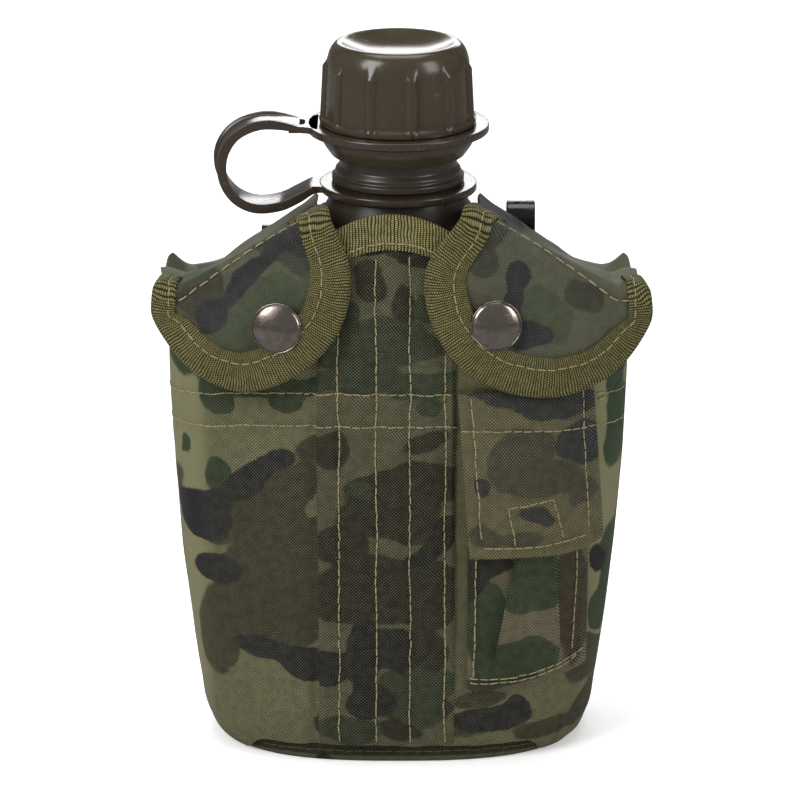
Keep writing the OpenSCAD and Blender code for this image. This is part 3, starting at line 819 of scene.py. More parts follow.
@dataclass(frozen=True)
class Backdrop(Finish):
    """White paper under and behind the canteen."""

    def dress(self, g: Graph, shader: bpy.types.Node) -> None:
        """Nearly white, with the faintest mottle."""
        path = g.add("LightPath")
        colour = g.mix(g.noise(3.0, 2.0), srgb(250, 250, 250), srgb(254, 254, 254))
        colour = g.mix(path.outputs["Is Glossy Ray"], colour, srgb(150, 150, 150))
        self.wire(g, shader, colour, g.span(g.noise(9.0), 0.0, 1.0, 0.85, 0.9), shine=0.0)
        seen = path.outputs["Is Camera Ray"]
        g.tree.links.new(g.math("MULTIPLY", seen, 0.3), shader.inputs["Emission Strength"])
        shader.inputs["Emission Color"].default_value = (1.0, 1.0, 1.0, 1.0)


PANEL_CLOTH = PrintedCloth("Front cloth", pitch=0.5)
STRIP_CLOTH = PrintedCloth("Strip cloth", pitch=0.52, turn=0.06, ground=(88, 88, 64), brown=(38, 36, 24),
                           black=(24, 24, 28), green=(50, 58, 40))
FLAP_CLOTH = PrintedCloth("Flap cloth", pitch=0.42, turn=0.1, ground=(86, 87, 71), green=(68, 76, 56),
                          brown=(60, 60, 50), black=(40, 40, 48))
POUCH_CLOTH = PrintedCloth("Pouch cloth", pitch=0.48, turn=0.1, ground=(110, 101, 78), green=(46, 62, 40),
                           brown=(64, 54, 38), black=(22, 22, 26))
POUCH_FLAP_CLOTH = PrintedCloth("Pouch flap cloth", pitch=0.5, ground=(104, 98, 70), brown=(72, 68, 54),
                                black=(48, 48, 54))
SIDE_CLOTH = PrintedCloth("Side cloth", pitch=0.5, ground=(88, 86, 62))
TAPE = Webbing("Olive tape")
COLLAR_TAPE = Webbing("Collar tape", rib=1.0, bead=0.62, bead_highlight=(150, 143, 96))
THREAD = SewingThread("Tan thread")
DARK_THREAD = SewingThread("Olive thread", colour=(92, 88, 62))
BOTTLE_PLASTIC = Plastic("Bottle plastic", colour=(48, 41, 33))
CAP_PLASTIC = Plastic("Cap plastic", colour=(60, 52, 38), rough=0.22)
TETHER_PLASTIC = Plastic("Tether plastic", colour=(54, 44, 36), rough=0.24)
RUBBER = Plastic("Gasket rubber", colour=(34, 33, 31), worn=(60, 58, 55), rough=0.6)
SNAP_STEEL = Metal("Snap cap steel", colour=(142, 133, 124), tarnish=(70, 62, 56), rough=0.16, amount=0.25)
SNAP_INNER = Metal("Snap inner steel", colour=(176, 172, 164), tarnish=(96, 90, 82), rough=0.34, amount=0.5)
ENAMEL = Metal("Black enamel", colour=(20, 20, 21), tarnish=(34, 33, 32), metallic=0.0, rough=0.16, amount=0.4)
BRASS = Metal("Blackened brass", colour=(92, 80, 52), tarnish=(28, 24, 18), rough=0.4, amount=0.8)
LOOP_TAPE = Pile("Loop tape", colour=(66, 66, 46), size=1500.0)
HOOK_TAPE = Pile("Hook tape", colour=(46, 48, 34), size=1100.0)
PAPER = Backdrop("White paper")


# ---- the cover's own shape ----


@dataclass(frozen=True)
class Form:
    """The shape that every cloth piece of the cover follows, in millimetres."""

    half: float = 71.5
    front: float = 37.5
    back: float = 29.0
    hollow: float = 6.0
    square: float = 2.6
    lobe_gap: float = 4.0
    lobe_half: float = 81.0
    ridge_in: Point = (22.0, 178.5)
    ridge_out: Point = (70.0, 150.5)
    widths: tuple[Point, ...] = ((0, -16.5), (3, -13), (7, -11), (20, -8.5), (42, -5.5), (76, -2.3), (109, -0.4),
                                 (130, 0), (150, -1.5), (178, -5))
    fronts: tuple[Point, ...] = ((0, -3.5), (7, -2.2), (30, -0.8), (76, 0.5), (110, 0), (124, -0.6), (150, -3),
                                 (165, -5.5), (178, -8))
    backs: tuple[Point, ...] = ((0, -3), (7, -1.5), (30, 0), (120, 0), (150, -1), (178, -4))

    def half_w(self, z: Array) -> Array:
        """Half-width at height z."""
        return self.half + smooth_table(z, self.widths)

    def front_y(self, z: Array) -> Array:
        """Distance of the front from the neck axis at height z."""
        return self.front + smooth_table(z, self.fronts)

    def body(self, angle: Array, z: Array, off: Array = 0.0) -> Array:
        """Points of the cover's outer face.

        Args:
            angle: Degrees from the front, towards +X.
            z: Height.
            off: Distance outside the face.

        Returns:
            The points.
        """
        a, z, off = np.broadcast_arrays(np.radians(angle), np.asarray(z, float), np.asarray(off, float))
        w, p = self.half_w(z) + off, 2 / self.square
        x = w * signed_power(np.sin(a), p)
        dip = np.where(np.cos(a) < 0, self.hollow * np.maximum(0, 1 - (x / w) ** 2) ** 2, 0)
        depth = np.where(np.cos(a) > 0, self.front_y(z) + off, self.back + smooth_table(z, self.backs) + off)
        return np.stack([x, -depth * signed_power(np.cos(a), p) - dip, z], -1)

    def angle_at(self, x: Array, z: Array) -> Array:
        """Angle of the front face's point at x and z, in degrees."""
        s = np.clip(np.abs(x) / self.half_w(z), 0, 0.9995) ** (self.square / 2)
        return np.sign(x) * np.degrees(np.arcsin(s))

    def face(self, x: Array, z: Array, off: Array = 0.0) -> Array:
        """Points on the front face at x and z, off outside it along the depth."""
        x, z, off = np.broadcast_arrays(np.asarray(x, float), np.asarray(z, float), np.asarray(off, float))
        k = np.maximum(0.01, 1 - (np.abs(x) / self.half_w(z)) ** self.square) ** (1 / self.square)
        return np.stack([x, -self.front_y(z) * k - off, z], -1)

    def even_angles(self, start: float, end: float, count: int) -> tuple[Array, Array]:
        """Angles evenly spaced along the cover's girth.

        Args:
            start: First angle in degrees.
            end: Last angle.
            count: How many.

        Returns:
            The angles, and the distance round the girth to each from the front.
        """
        dense = np.linspace(-180, 240, 4201)
        line = self.body(np.where(dense > 180, dense - 360, dense), 100.0)
        run = np.concatenate([[0], np.cumsum(np.linalg.norm(np.diff(line, axis=0), axis=1))])
        run -= np.interp(0, dense, run)
        s = np.linspace(np.interp(start, dense, run), np.interp(end, dense, run), count)
        return np.interp(s, run, dense), s

    def back_face(self, x: Array, z: Array) -> Array:
        """Distance of the back face from the neck axis at x and z."""
        w = self.half_w(z)
        k = np.maximum(0, 1 - (np.abs(x) / w) ** self.square) ** (1 / self.square)
        return (self.back + smooth_table(z, self.backs)) * k - self.hollow * (1 - np.minimum((x / w) ** 2, 1)) ** 2

    def lobe_y(self, x: Array, z: Array) -> Array:
        """Distance of the inside of a flap from the neck axis at x and z."""
        k = np.maximum(0.01, 1 - (np.abs(x) / self.lobe_half) ** self.square) ** (1 / self.square)
        return (self.front_y(z) + self.lobe_gap) * k

    def along_ridge(self, x: Array) -> Array:
        """Share of the way along the ridge at x."""
        return (np.abs(x) - self.ridge_in[0]) / (self.ridge_out[0] - self.ridge_in[0])

    def ridge_z(self, x: Array) -> Array:
        """Height of the ridge at x."""
        return mix(self.ridge_in[1], self.ridge_out[1], self.along_ridge(x))

    def ridge_y(self, x: Array) -> Array:
        """Distance of the ridge from the neck axis at x."""
        ends = [self.lobe_y(np.array(e[0]), np.array(e[1])) for e in (self.ridge_in, self.ridge_out)]
        return mix(ends[0], ends[1], self.along_ridge(x))

    def front_top(self, x: Array) -> Array:
        """Height of the front panel's upper edge."""
        return np.maximum(176.5 - 0.017 * (x + 2) ** 2, np.minimum(168, self.ridge_z(x) - 8))

    def back_top(self, x: Array) -> Array:
        """Height of the back panel's upper edge."""
        return np.minimum(168, self.ridge_z(x) - 9 - 6 * np.maximum(0, self.along_ridge(x)) ** 2)

    def shoulder_dip(self, x: Array) -> Array:
        """How far the shoulder sinks behind the ridge at x."""
        t = np.maximum(0, self.along_ridge(x))
        return 4.2 + 13 * t - 5 * t * t - 7 * np.maximum(0, 2 * t - 1) ** 1.5


FORM = Form()


def settle(obj: bpy.types.Object, body: str, *nodes: str, slot: str = "") -> bpy.types.Object:
    """Lets a piece ride on a body in place of CAD nodes, and logs it.

    Args:
        obj: The piece.
        body: The CAD body it moves with.
        nodes: The CAD nodes it stands for.
        slot: Not used.

    Returns:
        The piece.
    """
    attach(obj, body)
    return note(obj, *nodes, slot=slot)


def note(obj: bpy.types.Object, *nodes: str, slot: str = "") -> bpy.types.Object:
    """Hides the CAD nodes that a piece stands for, and logs it."""
    if nodes:
        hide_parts(*nodes)
    LOG.info("built %s", obj.name)
    return obj


def even_line(points: Sequence[Point]) -> tuple[Array, Array]:
    """A polyline's two coordinates, with sixty steps from each corner to the next."""
    p = np.array(points, float)
    t = np.linspace(0, len(p) - 1, 60 * (len(p) - 1))
    return tuple(np.interp(t, np.arange(len(p)), p[:, k]) for k in range(2))


def coat(node: str, finish: Finish) -> None:
    """Gives a CAD node that shows as it is its finish."""
    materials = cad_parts[node].data.materials
    materials.clear()
    materials.append(finish.material())


def sewn(name: str, shells: Sequence[Shell], thread: Finish = THREAD, slot: str = "camouflage_cloth") -> None:
    """Joins seams into one piece on the cover's body."""
    settle(shells[0].joined(*shells[1:]).piece(name, thread.material()), "cover", slot=slot)


def clothe(shell: Shell, node: str, finish: Finish) -> bpy.types.Object:
    """Makes a stretched cloth piece of the cover's body.

    Args:
        shell: The cloth.
        node: The CAD node that it stands for.
        finish: Its finish.

    Returns:
        The piece.
    """
    obj = settle(shell.piece(f"{node}_cloth", finish.material()), "cover", node, slot="camouflage_cloth")
    return obj


def seam_height(top: float, x: Array) -> Array:
    """Height of a seam across the front that sinks towards the sides."""
    return top - 6.0 * (np.abs(x) / 70) ** 3.2


# ---- the cover ----

FRONT_BLOTS: tuple[Blot, ...] = (
    ("G", -56, 120, 6, 6.4, 0), ("G", -44, 124.4, 17, 4, 0), ("G", -34, 120, 5, 4.6, 0), ("G", -14, 126, 21, 3.2, 0),
    ("K", -61, 79, 8.2, 8.6, 0), ("K", -58, 85, 6.6, 4.8, 0), ("K", -46.6, 93.3, 10.2, 4.6, 40),
    ("K", -38, 100.8, 6.6, 3.2, 25), ("B", -22.6, 106.2, 9.2, 4.3, 15), ("B", -32.4, 93.3, 9.7, 6.4, 35),
    ("B", -40.7, 79.2, 12.8, 12.4, 45), ("B", -41, 62.8, 15.3, 14, 0), ("B", -22, 68.2, 15.3, 16, 0),
    ("B", -58, 73.7, 4.6, 3.2, 0), ("G", -55.6, 94, 5, 6.4, 0), ("K", -56.6, 63, 7.7, 4.6, 0),
    ("B", -68, 87, 1.8, 5.9, 0), ("G", -66.5, 102.3, 1.5, 3.2, 0), ("B", -56.4, 41, 6.6, 16, 0),
    ("B", -38, 53.6, 20.4, 14, 0), ("K", -43.2, 38, 9.7, 4, 0), ("K", -27.7, 34.8, 9.7, 5.9, -15),
    ("G", -15, 12.3, 11.2, 5.9, 0), ("G", 67.4, 108.8, 4.4, 17, 0), ("G", 68.2, 61.5, 5.9, 13.4, 0),
    ("G", 64, 46.5, 4.4, 8.8, 0), ("B", 60.4, 14.4, 8.8, 4.6, 45), ("K", 28.5, 14.5, 13.7, 4.4, 0),
    ("K", 37.5, 17.8, 4.4, 4.6, 0), ("B", 25.5, 22, 7.8, 3.1, 0), ("B", 12.5, 12.3, 20.6, 3.1, 0),
    ("B", 46.6, 9, 9.8, 3.6, 0), ("K", 61.6, 64, 2.9, 5.2, 0), ("G", 66, 135, 7, 12, 20), ("K", 70, 128, 3, 4, 0),
    ("G", -66, 134, 6, 9, 0), ("B", 58, 30, 7, 9, 0),
)
STRIP_BLOTS: tuple[Blot, ...] = (
    ("B", -20, 105, 6, 5.9, 20), ("B", -4.3, 94.4, 13.3, 4.8, 20), ("G", -11.2, 92.2, 3.8, 3.2, 0),
    ("B", -6.9, 84.6, 13.3, 6.4, 10), ("B", -17.2, 73.7, 9.2, 6.4, 0), ("B", -1.8, 62.8, 16.8, 9, 0),
    ("B", -12, 58, 17.9, 10.2, 0), ("K", -10.6, 38, 7, 12.4, 0), ("K", -22.5, 33.6, 7, 5.9, 0),
    ("K", -0.3, 39.2, 5.6, 8.6, 20), ("K", -9, 21.9, 8.2, 5.9, 0), ("G", 4.4, 23.6, 8.7, 10.7, 30),
    ("G", -15, 11.7, 10.2, 4.8, 0), ("B", 0.2, 11.7, 6.6, 3.8, 0), ("G", -4, 127, 34, 4.5, 0),
    ("G", 10.2, 120, 3.9, 3, 0), ("B", 8.3, 108, 7.8, 3, 20), ("B", 9.8, 94.6, 12.8, 6.7, 0),
    ("B", 3.4, 86.3, 9.8, 10.3, 0), ("K", 13.8, 78.4, 7.8, 4.6, 35), ("K", 6.4, 71.6, 5.9, 3, 30),
    ("B", 9.9, 62.7, 12.8, 7.7, 0), ("B", 8.4, 39.3, 7.8, 8.8, 0), ("G", 8.5, 28, 11.3, 4.6, 0),
    ("B", 5, 21, 12.8, 5.7, 0), ("B", 8.4, 55.8, 12.8, 8.8, 0), ("G", -7, 139, 18, 8, 10), ("K", -7, 168, 12, 2.5, 0),
    ("K", 8, 165, 8, 2.5, 0), ("G", 9, 151, 4, 4, 0), ("G", 6, 139, 12, 4, 0), ("B", -9, 158, 5, 7, 30),
    ("B", 2, 150, 4, 6, 0), ("G", -17, 149, 5, 5, 0),
)


@dataclass
class CoverBody:
    """Front, sides, back, base, the front strip and the collar of the cover."""

    cloth_t: float = 1.2
    strip: Point = (-24.7, 17.6)
    strip_off: float = 1.1
    stitch_x: tuple[float, ...] = (-18.0, -6.7, 3.6, 14.2)
    seams: tuple[float, ...] = (123.4, 113.1)
    base_top: float = 6.3

    def relief(self, x: Array, z: Array) -> Array:
        """How far the front cloth stands off its plain shape.

        Args:
            x: Place across.
            z: Height.

        Returns:
            Distances outward.
        """
        off = 0.55 * crumple(x, z * 0.7, 23, 5) * ease((70 - np.abs(x)) / 12) + 0.16 * crumple(x, z, 7.5, 8)
        for top in self.seams:
            d = z - seam_height(top, x)
            pull = 0.22 * np.sin(x * 2.02 + 3 * value_noise(x, z, 6, 3)) * bell(d, 3.4)
            off += (pull - 0.42 * bell(d, 1.2)) * ease((73 - np.abs(x)) / 6)
        gather = np.abs(value_noise(x, z * 0.25, 4.6, 12)) ** 0.7
        off += bell(z - 6.5, 5.5) * (0.9 * gather - 0.1) * ease((60 - np.abs(x)) / 10)
        off += 0.5 * bell(x + 31, 6) * bell(z - 70, 45) - 0.5 * bell(x + 26.2, 1.3)
        return off

    def strip_relief(self, x: Array, z: Array) -> Array:
        """How far the strip stands off its plain shape."""
        off = 0.62 * crumple(x * 1.1 + z * 0.35, z - x * 0.5, 12, 21) + 0.14 * crumple(x, z, 5, 25)
        lines = np.array(self.stitch_x)
        near = np.min(np.abs(x[..., None] - lines), -1)
        off = off * ease(near / 3.5) + 0.45 * ease(near / 4.5)
        off += (0.2 * np.sin(z * 2.02 + 2 * value_noise(x, z, 5, 4)) * bell(near, 2.6) - 0.25 * bell(near, 0.9))
        for top in self.seams:
            d = z - top
            off += 0.15 * np.sin(x * 2.02) * bell(d, 2.6) - 0.4 * bell(d, 1.1)
        return off

    def skin(self, x: Array, z: Array) -> Array:
        """Distance outward of whichever cloth lies outermost at x and z."""
        on_strip = (x > self.strip[0]) & (x < self.strip[1])
        return np.where(on_strip, self.strip_off + self.strip_relief(x, z), self.relief(x, z))

    def hem(self, x: Array) -> Array:
        """Height of the front panel's lower edge: it sinks to the ground at the corners."""
        wave = 0.5 * value_noise(x, 0 * x, 9, 31)
        return self.base_top + wave - (5.4 + wave) * ease((np.abs(x + 1) - 41) / 10)

    def panel(self, start: float, end: float, cols: int, rows: int, top: Callable[[Array], Array],
              bottom: Callable[[Array], Array], relief: Callable[[Array, Array], Array]) -> tuple[Array, Shell]:
        """A cloth panel between two angles.

        Args:
            start: First angle in degrees.
            end: Last angle.
            cols: Points across.
            rows: Points up.
            top: Height of the upper edge at x.
            bottom: Height of the lower edge at x.
            relief: Distance outward at x and z.

        Returns:
            The grid of the outer face, and the closed shell.
        """
        angle, girth = FORM.even_angles(start, end, cols)
        x = FORM.body(angle, 140.0)[:, 0]
        low = FORM.body(angle, 8.0)[:, 0]
        v = np.linspace(0, 1, rows)[:, None]
        z = mix(bottom(low), top(x), v)
        plain = FORM.body(angle, z)
        grid = FORM.body(angle, z, relief(plain[..., 0], z))
        cut = np.stack([girth + 0 * z, z], -1)
        return grid, cloth(grid, cut, self.cloth_t)

    def front_panel(self) -> bpy.types.Object:
        """The front of the cover."""
        grid, shell = self.panel(-84, 84, 190, 210, FORM.front_top, self.hem, self.relief)
        x, z = shell.points[:, 0], shell.points[:, 2]
        grain = 0.12 + 0.88 * ease((64.5 - np.abs(x)) / 8)
        print_inks(shell, FRONT_BLOTS, 3, grain, np.stack([x, z], -1))
        return clothe(shell, "front_panel", PANEL_CLOTH)

    def side(self, side: Side) -> bpy.types.Object:
        """A side gusset."""
        def relief(x: Array, z: Array) -> Array:
            """Soft folds that run down the side."""
            return 0.4 * crumple(z * 0.4, x * 3, 17, 40 + side.value) + 0.1

        ends = (84.6, 127.4) if side is Side.RIGHT else (-127.4, -84.6)
        grid, shell = self.panel(*ends, 60, 170, lambda x: FORM.ridge_z(x) - 7.5, lambda x: self.base_top - 3.4 + 0 * x,
                                 relief)
        blots = scatter(61 + side.value, (60, 135) if side is Side.RIGHT else (-135, -60), (5, 165), 20)
        print_inks(shell, blots, 9, np.full(len(shell.points), 0.25))
        return clothe(shell, f"side_gusset_{side.word}", SIDE_CLOTH)

    def back_relief(self, x: Array, z: Array) -> Array:
        """Soft folds of the back."""
        return 0.35 * crumple(x, z, 26, 51) - 0.1

    def back_panel(self) -> bpy.types.Object:
        """The hollowed back of the cover."""
        grid, shell = self.panel(128, 232, 130, 150, FORM.back_top, lambda x: self.base_top - 2.4 + 0 * x,
                                 self.back_relief)
        print_inks(shell, scatter(77, (110, 245), (5, 168), 34), 14, np.full(len(shell.points), 0.8))
        return clothe(shell, "back_panel", PANEL_CLOTH)

    def base_panel(self) -> bpy.types.Object:
        """The shallow tray under the cover, with its drain hole."""
        angle, girth = FORM.even_angles(-180, 180, 161)
        angle, girth = angle[:-1], girth[:-1]
        hole = np.stack([4.5 * np.sin(np.radians(angle)), -4.5 * np.cos(np.radians(angle)), 0 * angle], -1)

        def loop(z: float, off: float) -> Array:
            """One ring of the tray's wall, with the wall's own waves."""
            lay = FORM.body(angle, z, off + 0.12 * np.sin(girth * 0.9) * (z > 2))
            lay[:, 2] = max(z, 0.0)
            return lay

        edge = loop(0.0, -1.6)
        rows = [mix(hole, edge, t) for t in np.linspace(0, 1, 26)]
        rows += [loop(z, off) for z, off in ((0.3, -0.9), (1.0, -0.7), (2.2, -0.8), (3.6, -0.9), (5.0, -1.0),
                                             (6.1, -1.2), (6.2, -1.9), (5.4, -2.2), (3.0, -2.3), (1.9, -2.6))]
        inner = loop(0.0, -4.0)
        rows += [mix(inner, hole, t) + [0, 0, 1.4] for t in np.linspace(0, 1, 14)]
        rings = np.array(rows)
        across = np.cumsum(np.linalg.norm(np.diff(rings, axis=0, prepend=rings[:1]), axis=-1).mean(1))
        cut = np.stack([girth + 0 * across[:, None], across[:, None] + 0 * girth], -1)
        cut[:26] = rings[:26, :, :2]
        shell = loft(rings, cut, loop=True)
        print_inks(shell, scatter(91, (-70, 70), (-35, 35), 16), 6, np.full(len(shell.points), 0.9))
        shell.inks["brown"] = np.maximum(shell.inks["brown"], np.where(shell.points[:, 2] > 1.0, 0.6, -9))
        obj = settle(shell.piece("base_panel_cloth", STRIP_CLOTH.material()), "cover", "base_panel",
                     slot="camouflage_cloth")
        return obj

    def front_strip(self) -> bpy.types.Object:
        """The quilted strip down the middle of the front."""
        u, v = np.meshgrid(np.linspace(0, 1, 96), np.linspace(0, 1, 240))
        x = mix(self.strip[0], self.strip[1], u) + 0.25 * value_noise(0 * u, v * 160, 12, 8)
        z = mix(7.2 + 0.4 * value_noise(x, 0 * x, 7, 2), FORM.front_top(x) - 7.0, v)
        edge = np.minimum(x - self.strip[0], self.strip[1] - x)
        off = self.strip_off + self.strip_relief(x, z) - 0.9 * (1 - ease(edge / 1.4))
        grid = FORM.face(x, z, off)
        shell = cloth(grid, np.stack([x, z], -1), 0.9)
        print_inks(shell, STRIP_BLOTS, 3, where=shell.points[:, [0, 2]])
        return clothe(shell, "front_strip", STRIP_CLOTH)

    def collar(self) -> bpy.types.Object:
        """The tape folded over the front panel's upper edge, between the flaps."""
        x = np.linspace(-22.5, 19.5, 190)
        tall = 9.6
        q_front = np.linspace(tall, 0.5, 12)
        turn = np.linspace(0, math.pi, 8)
        q = np.concatenate([q_front, 0.4 - 0.9 * np.sin(turn), np.linspace(0.6, 5, 4), np.linspace(5, 0.8, 4),
                            np.linspace(0.8, tall, 6)])
        front_off = 1.3 + 0.9 * ease((q_front - 4) / 4) + 0.2 * np.sin(math.pi * q_front / tall)
        off = np.concatenate([front_off, 0.85 * np.cos(turn) + 0.3, np.full(4, -1.8), np.full(4, -1.25),
                              np.full(6, 0.2)])
        q, off = q[None], off[None] + 0.12 * value_noise(x[:, None], q[None] * 2, 5, 71)
        top = FORM.front_top(x)[:, None] + 1.1
        ragged = 0.22 * np.sin(x * 2 * math.pi / 1.0)[:, None] * (np.arange(q.shape[1]) < 1)
        rings = FORM.face(x[:, None] + 0 * q, top - q - ragged, off)
        run = np.cumsum(np.linalg.norm(np.diff(rings[:, 4], axis=0, prepend=rings[:1, 4]), axis=1))
        side = np.cumsum(np.linalg.norm(np.diff(rings[0], axis=0, prepend=rings[0, :1]), axis=1))
        cut = np.stack([run[:, None] + 0 * side, side + 0 * run[:, None]], -1)
        obj = settle(loft(rings, cut).piece("collar_binding_tape", COLLAR_TAPE.material()), "cover",
                     "collar_binding", slot="webbing")
        return obj

    def stitching(self) -> None:
        """Every seam of the cover's body."""
        def line_on(x: Array, z: Array, lift: float = 0.0) -> tuple[Array, Array]:
            """A line on the outermost front cloth, and its normals."""
            angle = FORM.angle_at(x, z)
            at = FORM.body(angle, z, self.skin(x, z) + lift)
            around = FORM.body(angle + 0.5, z) - FORM.body(angle - 0.5, z)
            up = FORM.body(angle, z + 0.5) - FORM.body(angle, z - 0.5)
            return at, unit(np.cross(around, up))

        shells = []
        for k, (x0, high) in enumerate(zip(self.stitch_x, (152.0, 167.5, 167.5, 138.0))):
            z = np.linspace(7.6, high, 420)
            x = x0 + 0.4 * value_noise(z, 0 * z, 15, 90 + k) + 0.16 * value_noise(z, 0 * z, 4, 95 + k)
            shells.append(sew(*line_on(x, z, 0.1), seed=k, thick=0.46, length=2.9))
        seam_spans = (((-71.4, 16.6), (61.5, 70.8)), ((-71.2, 18.0), (60.6, 70.6)))
        for k, (top, spans) in enumerate(zip(self.seams, seam_spans)):
            for start, end in spans:
                x = np.linspace(start, end, 400)
                z = seam_height(top, x) + 0.25 * value_noise(x, 0 * x, 6, 80 + k)
                shells.append(sew(*line_on(x, z, 0.08), seed=10 + k, thick=0.42, pitch=2.9, length=2.7))
        x = np.linspace(-21, 18, 160)
        z = FORM.front_top(x) - 6.6 + 0.2 * value_noise(x, 0 * x, 5, 66)
        at = FORM.face(x, z, 2.35)
        shells.append(sew(at, np.tile([0, -0.98, 0.2], (160, 1)), seed=31, thick=0.45))
        tack = np.array([[60.9, 117.8], [64.2, 117.5], [60.9, 119.4], [64.2, 119.2]])
        for a, b in ((tack[0], tack[1]), (tack[2], tack[3])):
            t = np.linspace(0, 1, 12)[:, None]
            at, normal = line_on(*mix(a, b, t).T, 0.15)
            shells.append(sew(at, normal, seed=5, thick=0.8, pitch=1.1, length=1.5))
        sewn("cover_stitching", shells)
        shells = []
        for side in Side:
            for angle in (98.0, 124.0):
                z = np.linspace(6, 138, 300)
                a = np.full(300, angle * side.value)
                at = FORM.body(a, z, 0.2)
                shells.append(sew(at, unit(at - [0, 0, 1] * at), seed=int(angle), thick=0.45))
        for side in Side:
            z = np.linspace(8, 140, 300)
            at = FORM.body(np.full(300, 132.0 * side.value), z, 0.2)
            shells.append(sew(at, unit(at * [0.3, 1, 0]), seed=7, thick=0.45))
        angle, _ = FORM.even_angles(-178, 178, 700)
        z = np.full(700, 3.9)
        at = FORM.body(angle, z, np.where(np.abs(angle) < 84, -0.75, 0.3))
        hidden = (np.abs(at[:, 0]) > 44) & (np.abs(angle) < 85)
        at, angle = at[~hidden], angle[~hidden]
        shells.append(sew(at, unit(at * [1, 1, 0]), seed=3, thick=0.42))
        sewn("seam_stitching", shells, DARK_THREAD)

    def build(self) -> None:
        """Builds every piece of the cover's body."""
        self.front_panel()
        for side in Side:
            self.side(side)
        self.back_panel()
        self.base_panel()
        self.front_strip()
        self.collar()
        self.stitching()
        coat("drain_eyelet", BRASS)


# ---- the two flaps ----

OUTLINES: dict[Side, tuple[Point, ...]] = {
    Side.LEFT: ((20.9, 177.6), (15.4, 166), (15, 155), (19.5, 142.5), (31, 131), (47, 125), (62, 129.5),
                (71.5, 138.5), (75.2, 145.6)),
    Side.RIGHT: ((19.8, 177.9), (9.6, 166), (8.8, 154), (13.5, 141), (26, 128.5), (46, 123.4), (62, 126.8),
                 (73, 135), (77.6, 144)),
}
FLAP_BLOTS: dict[Side, tuple[Blot, ...]] = {
    Side.LEFT: (("K", 42.6, 162.5, 20, 3.0, -47), ("K", 28, 172, 8, 4.5, -30), ("K", 57, 147, 5, 4.5, 0),
                ("B", 61, 154, 8, 9, 0), ("G", 40, 148, 17, 12, -20), ("B", 46, 176, 40, 6, 30),
                ("G", 68, 170, 12, 14, 0), ("G", 30, 192, 14, 8, 0), ("K", 50, 200, 14, 6, 20),
                ("G", 24, 158, 4, 7, 0)),
    Side.RIGHT: (("K", 36, 160.7, 3.8, 4.0, 0), ("K", 35, 153, 3.5, 5, 0), ("K", 39.4, 142, 6.5, 4.4, 0),
                 ("K", 33.5, 148.5, 3.2, 4.5, 0), ("G", 45.3, 147.3, 8, 8, 0), ("G", 41.4, 154.5, 4, 3, 0),
                 ("G", 74, 172, 12, 18, 0), ("B", 40, 182, 26, 7, 30), ("B", 57, 153, 7, 4, -30),
                 ("K", 30, 200, 10, 7, 0), ("G", 50, 205, 14, 8, 0), ("B", 26, 166, 5, 5, 0)),
}


SNAPS: dict[Side, Point] = {Side.LEFT: (-35.7, 144.4), Side.RIGHT: (29.0, 145.5)}


def spline_rows(stations: Array, s: Array) -> Array:
    """Catmull-Rom rows through rows of points.

    Args:
        stations: Rows of points.
        s: Places from the first row, 0, to the last, 1.

    Returns:
        One row of points for each place.
    """
    n = len(stations) - 1
    u = np.minimum(s * n, n - 1e-6)
    i = u.astype(int)
    t = (u - i)[:, None, None]
    p0, p1, p2, p3 = (stations[np.clip(i + k, 0, n)] for k in (-1, 0, 1, 2))
    return 0.5 * (2 * p1 + (p2 - p0) * t + (2 * p0 - 5 * p1 + 4 * p2 - p3) * t**2 + (3 * p1 - p0 - 3 * p2 + p3) * t**3)


